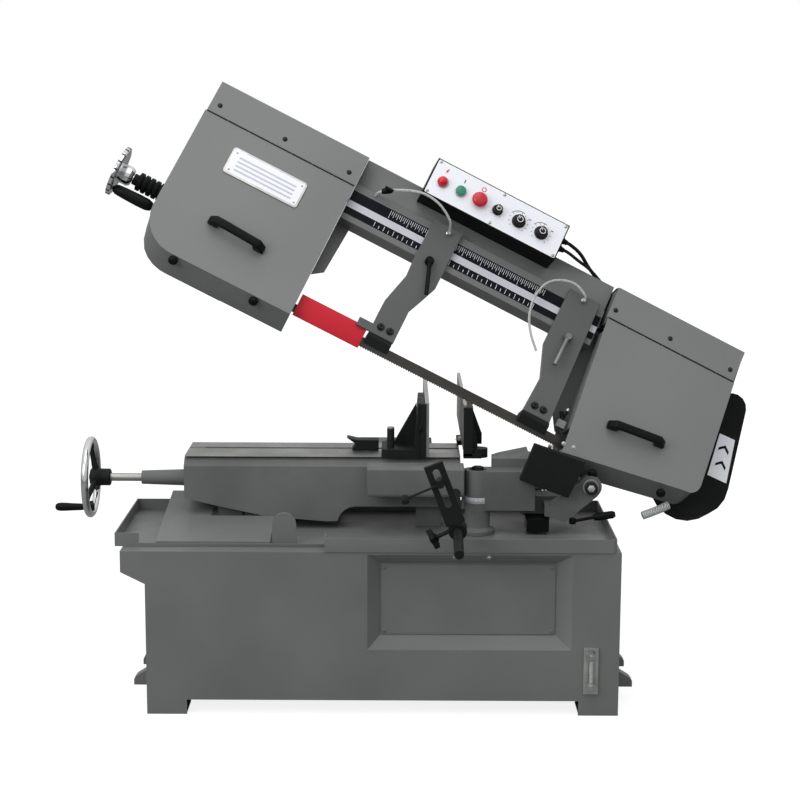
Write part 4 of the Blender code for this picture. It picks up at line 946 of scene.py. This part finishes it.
def motor():
    """Finned motor body with end shields, fan cover, terminal box lid and screws."""
    x, z = MOTOR_AXIS
    parts = [turned([(0, 0), (50, 0), (58, 3), (63, 6), (63, 114), (0, 114)], (x, 106, z), BACK, 64),
        turned([(0, 112), (65, 112), (66, 116), (65, 130), (58, 136), (20, 136), (0, 136)], (x, 106, z),
        BACK, 64)]
    for i in range(36):
        a = 2 * pi * i / 36
        turn = Matrix.Translation((x, 0, z)) @ Matrix.Rotation(a, 4, "Y")
        fin = slab((60, 66), (116, 216), (-1.1, 1.1))
        bmesh.ops.transform(fin, matrix=turn, verts=fin.verts)
        parts.append(fin)
    parts.append(slab((x - 60, x + 10), (136, 196), (z + 50, z + 84)))
    parts.append(slab((x - 61, x + 11), (135, 197), (z + 85, z + 92)))
    parts.append(slab((12, 282), (105.8, 113), (232, 338)))
    parts.append(slab((22, 82), (30.3, 110), (232.3, 266)))
    on_bow("motor_finished", gathered(parts), MOTOR, "motor_grey", ("motor",), bevel=0.8, segments=2,
           smooth=40)
    vents = []
    for i in range(5):
        reach = 18 + 9 * i
        vents.append(turned([(reach, 0), (reach + 4, 0), (reach + 4, 0.6), (reach, 0.6)], (x, 242, z),
            BACK, 48))
    on_bow("motor_fan_grille", gathered(vents), PLASTIC, "black_plastic")
    screws = [pan_screw((x - 60 + dx, y, z + 92), UP, 3.4, 2.2) for dx in (6, 64) for y in (142, 190)]
    fasteners("terminal_box_screws", screws, BOW, BOLT, "bow")


def case_bolts():
    spots = [(DRIVE_X + a, WHEEL_Z + b) for a in (-52, 52) for b in (-52, 52)]
    bolts = [hex_bolt((x, 118.4, z), BACK, 7, 5) for x, z in spots]
    fasteners("gear_case_bolts", bolts, BOW, BOLT, "bow")
    axle = [hex_bolt((IDLER_X + a, 112, z), BACK, 8, 6) for a, z in ((-45, 190), (25, 190))]
    fasteners("carriage_bolts", axle, BOW, BOLT, "tension_slide")


# ---- trim on the base, vise and swivel

def bed_trim():
    """Machined strips on the bed's top beside the slot, and the vise's bolts."""
    strips = [slab((-516, 144), (21, 122), (568.02, 568.16)), slab((-516, 144), (138, 198),
        (568.02, 568.16))]
    piece("bed_machined_top", gathered(strips), MACHINE, BED_STEEL, "base", "steel")
    bolts = [hex_bolt((x, y, 580.2), UP, 8, 7) for x, y in ((166, 232), (150, 184))]
    fasteners("jaw_foot_bolts", bolts, MACHINE, BOLT, "base")
    post = gathered([cylinder(8, 0, 4, (-22, 44, 634), UP, 32), hex_bolt((10, 120, 588.2), UP, 9, 8)])
    piece("jaw_post_cap", post, MACHINE, BOLT, "vise_jaw", "steel", smooth=50)
    plate_bolts = [pan_screw((152 - 0.1, y, z), LEFT, 6, 0.4) for y in (60, 140) for z in (600, 680)]
    fasteners("fixed_plate_screws", plate_bolts, MACHINE, DARK_BOLT, "base")


def cabinet_trim():
    """Recess, side and pump bolts, panel screws, and the level gauge's tube and nuts."""
    slope = [hex_bolt((x, -192.5, 377), (0, -1, -1.0), 6, 4) for x in (126, 206)]
    fasteners("recess_bolts", slope, MACHINE, BOLT, "base")
    sides = [hex_bolt((-586, -150, z), LEFT, 6, 4) for z in (298, 179)]
    sides += [hex_bolt((511, -150, z), RIGHT, 6, 4) for z in (352, 183)]
    fasteners("side_bolts", sides, MACHINE, DARK_BOLT, "base")
    panel = [pan_screw((x, -174.5, z), FRONT, 4, 2.4) for x in (-34, 354) for z in (196, 347)]
    piece("access_panel_screws", gathered(panel), MACHINE, GREY, "base", "machine_grey", smooth=50)
    glass = cylinder(5.4, 0, 66, (445, -209.2, 77), UP, 32)
    piece("gauge_glass", glass, MACHINE, GLASS, "base", "gauge_clear", smooth=50)
    nuts = [hex_bolt((445, -215, z), FRONT, 7, 6) for z in (74, 146)]
    fasteners("gauge_nuts", nuts, MACHINE, BOLT, "base")
    pump = [hex_bolt((x, 230, 196), UP, 6, 4) for x in (272, 328)]
    fasteners("pump_bolts", pump, MACHINE, BOLT, "base")


def swivel_trim():
    """Miter scale and cap bolt on the hub, and the cylinder pin's clip."""
    px, py = HUB
    band = turned([(30.02, 0), (30.5, 0), (30.5, 14), (30.02, 14)], (px, py, 470), UP, 96)
    piece("miter_scale", band, MACHINE, RULE_SILVER, "swivel", "steel", smooth=50)
    marks = []
    for i in range(40):
        a = radians(-170 + 4 * i)
        height = 9 if i % 5 == 0 else 5
        turn = Matrix.Translation((px, py, 0)) @ Matrix.Rotation(a, 4, "Z")
        mark = slab((30.4, 30.7), (-0.3, 0.3), (470.5, 470.5 + height))
        bmesh.ops.transform(mark, matrix=turn, verts=mark.verts)
        marks.append(mark)
    piece("miter_scale_marks", gathered(marks), MACHINE, INK, "swivel", "dial_black")
    cap = hex_bolt((px, py, 548), UP, 14, 7)
    piece("swivel_cap_bolt", cap, MACHINE, DARK_BOLT, "swivel", "steel", smooth=50)
    pin = turned([(0, 0), (12, 0), (12, 2), (6, 3), (0, 3)], (337, 134, 461), BACK, 32)
    piece("cylinder_pin_clip", pin, MACHINE, BOLT, "swivel", "steel", smooth=50)


def swivel_collar():
    """Rounded side of the hub towards the bed, and a thin black sheet under the swivel arm: painted
    shade for the arm's underside.
    """
    px, py = HUB
    outline = [(px + radius * cos(radians(angle)), py + radius * sin(radians(angle))) for radius,
        angles in ((38.5, range(100, 190, 5)), (30.3, range(185, 99, -5))) for angle in angles]
    piece("swivel_collar", extruded(outline, 452, 546, "z"), MACHINE, CASTING, "swivel", "machine_grey",
        bevel=0.6)
    # Thin black sheet below the swivel arm's bottom edge: painted shade standing in for the shadow under
    # the arm.
    shade_sheet = slab((302, 356), (-44.4, -42.1), (400.5, 431.5))
    absorb(shade_sheet, slab((301, 357), (-44.4, 20), (432.1, 433.4)))
    piece("black_sheet_painted_shade", shade_sheet, MACHINE, PLASTIC, "swivel", "black_plastic", bevel=0.5)


def jaw_flanges():
    """Black front flange of each jaw, with the bolt that holds its steel plate."""
    moving = slab((50, 63.2), (2.5, 9.9), (568.6, 700))
    absorb(moving, hex_bolt((49.8, 6, 640), LEFT, 7, 5))
    piece("movable_jaw_flange", moving, MACHINE, BLACK_IRON, "vise_jaw", "black_iron", bevel=0.8)
    fixed = slab((152.2, 174), (2.5, 8.9), (574, 692))
    absorb(fixed, slab((152.2, 196), (2.5, 30), (569, 581)))
    absorb(fixed, hex_bolt((184, 16, 581), UP, 7, 5))
    piece("fixed_jaw_flange", fixed, MACHINE, BLACK_IRON, "base", "black_iron", bevel=0.8)


def right_box_backing():
    """Grey stay, guide bracket and bright-ended adjuster beside the right guide arm."""
    stay = extruded([(-158, 424), (-132.6, 424), (-103.4, 44), (-124, 44), (-168, 120), (-164, 250)], 26,
        29)
    on_bow("beam_end_stay", stay, SHADED_ARM_GREY, "machine_grey", bevel=0.4)
    block = slab((-134, -112), (-14, -2), (44, 64))
    on_bow("guide_bracket", block, DULL_STEEL, "steel", bevel=0.8)
    stem = cylinder(3.2, 0, 26, (-124, -9, 64), (0.1, 0, 1), 20)
    absorb(stem, cylinder(5.4, 0, 20, (-124, -9, 66), (-0.6, 0, 1), 20))
    on_bow("adjuster_stem", stem, PLASTIC, "black_plastic", smooth=50)
    ball = turned([(0, -5), (3.6, -3.6), (5, 0), (3.6, 3.6), (0, 5)], (-121, -9, 94), UP, 32)
    on_bow("adjuster_ball", ball, BOLT, "steel", smooth=60)


def stop_trim():
    """Star knob with a raised hub on each side."""
    centre = Vector(STOP_KNOB)
    outward = Vector((-0.87, 0, -0.5)).normalized()
    turn = Vector(UP).rotation_difference(outward).to_matrix().to_4x4()
    outline = []
    for i in range(80):
        a = 2 * pi * i / 80
        reach = 21 + 4 * cos(5 * a)
        outline.append((reach * cos(a), reach * sin(a)))
    mesh = extruded(outline, 5.0, 17.0, "z")
    absorb(mesh, turned([(0, 0.3), (9, 0.3), (10, 5), (0, 5)], (0, 0, 0), UP, 32))
    absorb(mesh, turned([(0, 16.5), (9, 16.5), (7, 19.5), (0, 20)], (0, 0, 0), UP, 32))
    piece("stop_knob_finished", mesh, MACHINE @ Matrix.Translation(centre) @ turn, PLASTIC,
        "stop_clamp", "black_plastic", ("stop_knob",), 1.6, 3, 50)


def drain_hose():
    """Stub of braided drain hose under the right wheel box; it ends in the air, short of the tray."""
    route = [(648, 14, 455), (628, 11, 446), (606, 7, 438), (584, 3, 431)]
    tube("drain_hose", route, 20.0, MACHINE, BRAID, "bow")


# ---- setting

def backdrop_floor():
    """Pale floor that fades into the white surroundings."""
    bpy.ops.mesh.primitive_plane_add(size=40, location=(0, 0, 0))
    floor = bpy.context.object
    floor.name = "floor"
    made = Shader("floor_pale", linear("8C8C8C"), 0.95, 0.0, 0.0)
    made.roughness(made.spread(made.noise(3.0), 0.9, 0.98))
    path = made.tree.nodes.new("ShaderNodeLightPath")
    seen = made.spread(path.outputs["Is Camera Ray"], 0.0, FLOOR_GLOW, 0.0, 1.0)
    made.main.inputs["Emission Color"].default_value = (1.0, 1.0, 1.0, 1.0)
    made.link(seen, made.main.inputs["Emission Strength"])
    floor.data.materials.append(made.material)


def studio_world():
    """Light that is bright overhead and dimmer towards the ground, seen as plain white."""
    world = bpy.data.worlds.new("studio")
    bpy.context.scene.world = world
    world.use_nodes = True
    tree = world.node_tree
    link = tree.links.new
    background = tree.nodes["Background"]
    output = tree.nodes["World Output"]
    place = tree.nodes.new("ShaderNodeTexCoord")
    split = tree.nodes.new("ShaderNodeSeparateXYZ")
    link(place.outputs["Generated"], split.inputs["Vector"])
    height = tree.nodes.new("ShaderNodeMapRange")
    fill(height, {"From Min": -0.4, "From Max": 1.0, "To Min": WORLD_LOW, "To Max": WORLD_HIGH})
    link(split.outputs["Z"], height.inputs["Value"])
    link(height.outputs["Result"], background.inputs["Strength"])
    white = tree.nodes.new("ShaderNodeBackground")
    for shade in (background, white):
        shade.inputs["Color"].default_value = (1.0, 1.0, 1.0, 1.0)
    path = tree.nodes.new("ShaderNodeLightPath")
    choice = tree.nodes.new("ShaderNodeMixShader")
    link(path.outputs["Is Camera Ray"], choice.inputs[0])
    link(background.outputs["Background"], choice.inputs[1])
    link(white.outputs["Background"], choice.inputs[2])
    link(choice.outputs["Shader"], output.inputs["Surface"])


def area_light(name, place, size, power):
    """A round soft light aimed at the saw's middle."""
    lamp = bpy.data.lights.new(name, "AREA")
    lamp.shape = "DISK"
    lamp.size = size
    lamp.energy = power
    holder = bpy.data.objects.new(name, lamp)
    bpy.context.scene.collection.objects.link(holder)
    holder.location = place
    aim = Vector((0, 0, 0.7)) - Vector(place)
    holder.rotation_euler = aim.to_track_quat("-Z", "Y").to_euler()


def photo_camera():
    """Camera in front of the blade's plane, above the bow, looking slightly down."""
    camera = bpy.data.cameras.new("camera")
    camera.lens = LENS_MM
    camera.sensor_width = SENSOR_MM
    camera.clip_end = 100.0
    holder = bpy.data.objects.new("camera", camera)
    bpy.context.scene.collection.objects.link(holder)
    place = MACHINE @ Vector(CAMERA_PLACE) * MM
    holder.matrix_world = (Matrix.Translation(place) @ Matrix.Rotation(radians(90 - CAMERA_DOWN), 4,
        "X") @ Matrix.Rotation(radians(CAMERA_ROLL), 4, "Z"))
    bpy.context.scene.camera = holder


def setting():
    """Pale floor, white surroundings, soft lights and the camera."""
    backdrop_floor()
    studio_world()
    area_light("top", (-0.3, -0.8, 3.6), 3.0, TOP_POWER)
    area_light("key", (-2.6, -3.0, 2.6), 2.2, KEY_POWER)
    photo_camera()
    bpy.context.scene.view_settings.view_transform = "Standard"


setting()
finish_nodes()
vise_wheel()
tension_wheel()
saw_blade()
drive_belt()
rule()
control_panel()
controls()
name_plate()
blade_guard()
pivot_trim()
guard_screws()
hinge_knuckles()
door_knobs()
arm_bolts()
tubes()
guard_label()
motor()
case_bolts()
bed_trim()
cabinet_trim()
swivel_trim()
swivel_collar()
jaw_flanges()
right_box_backing()
stop_trim()
drain_hose()
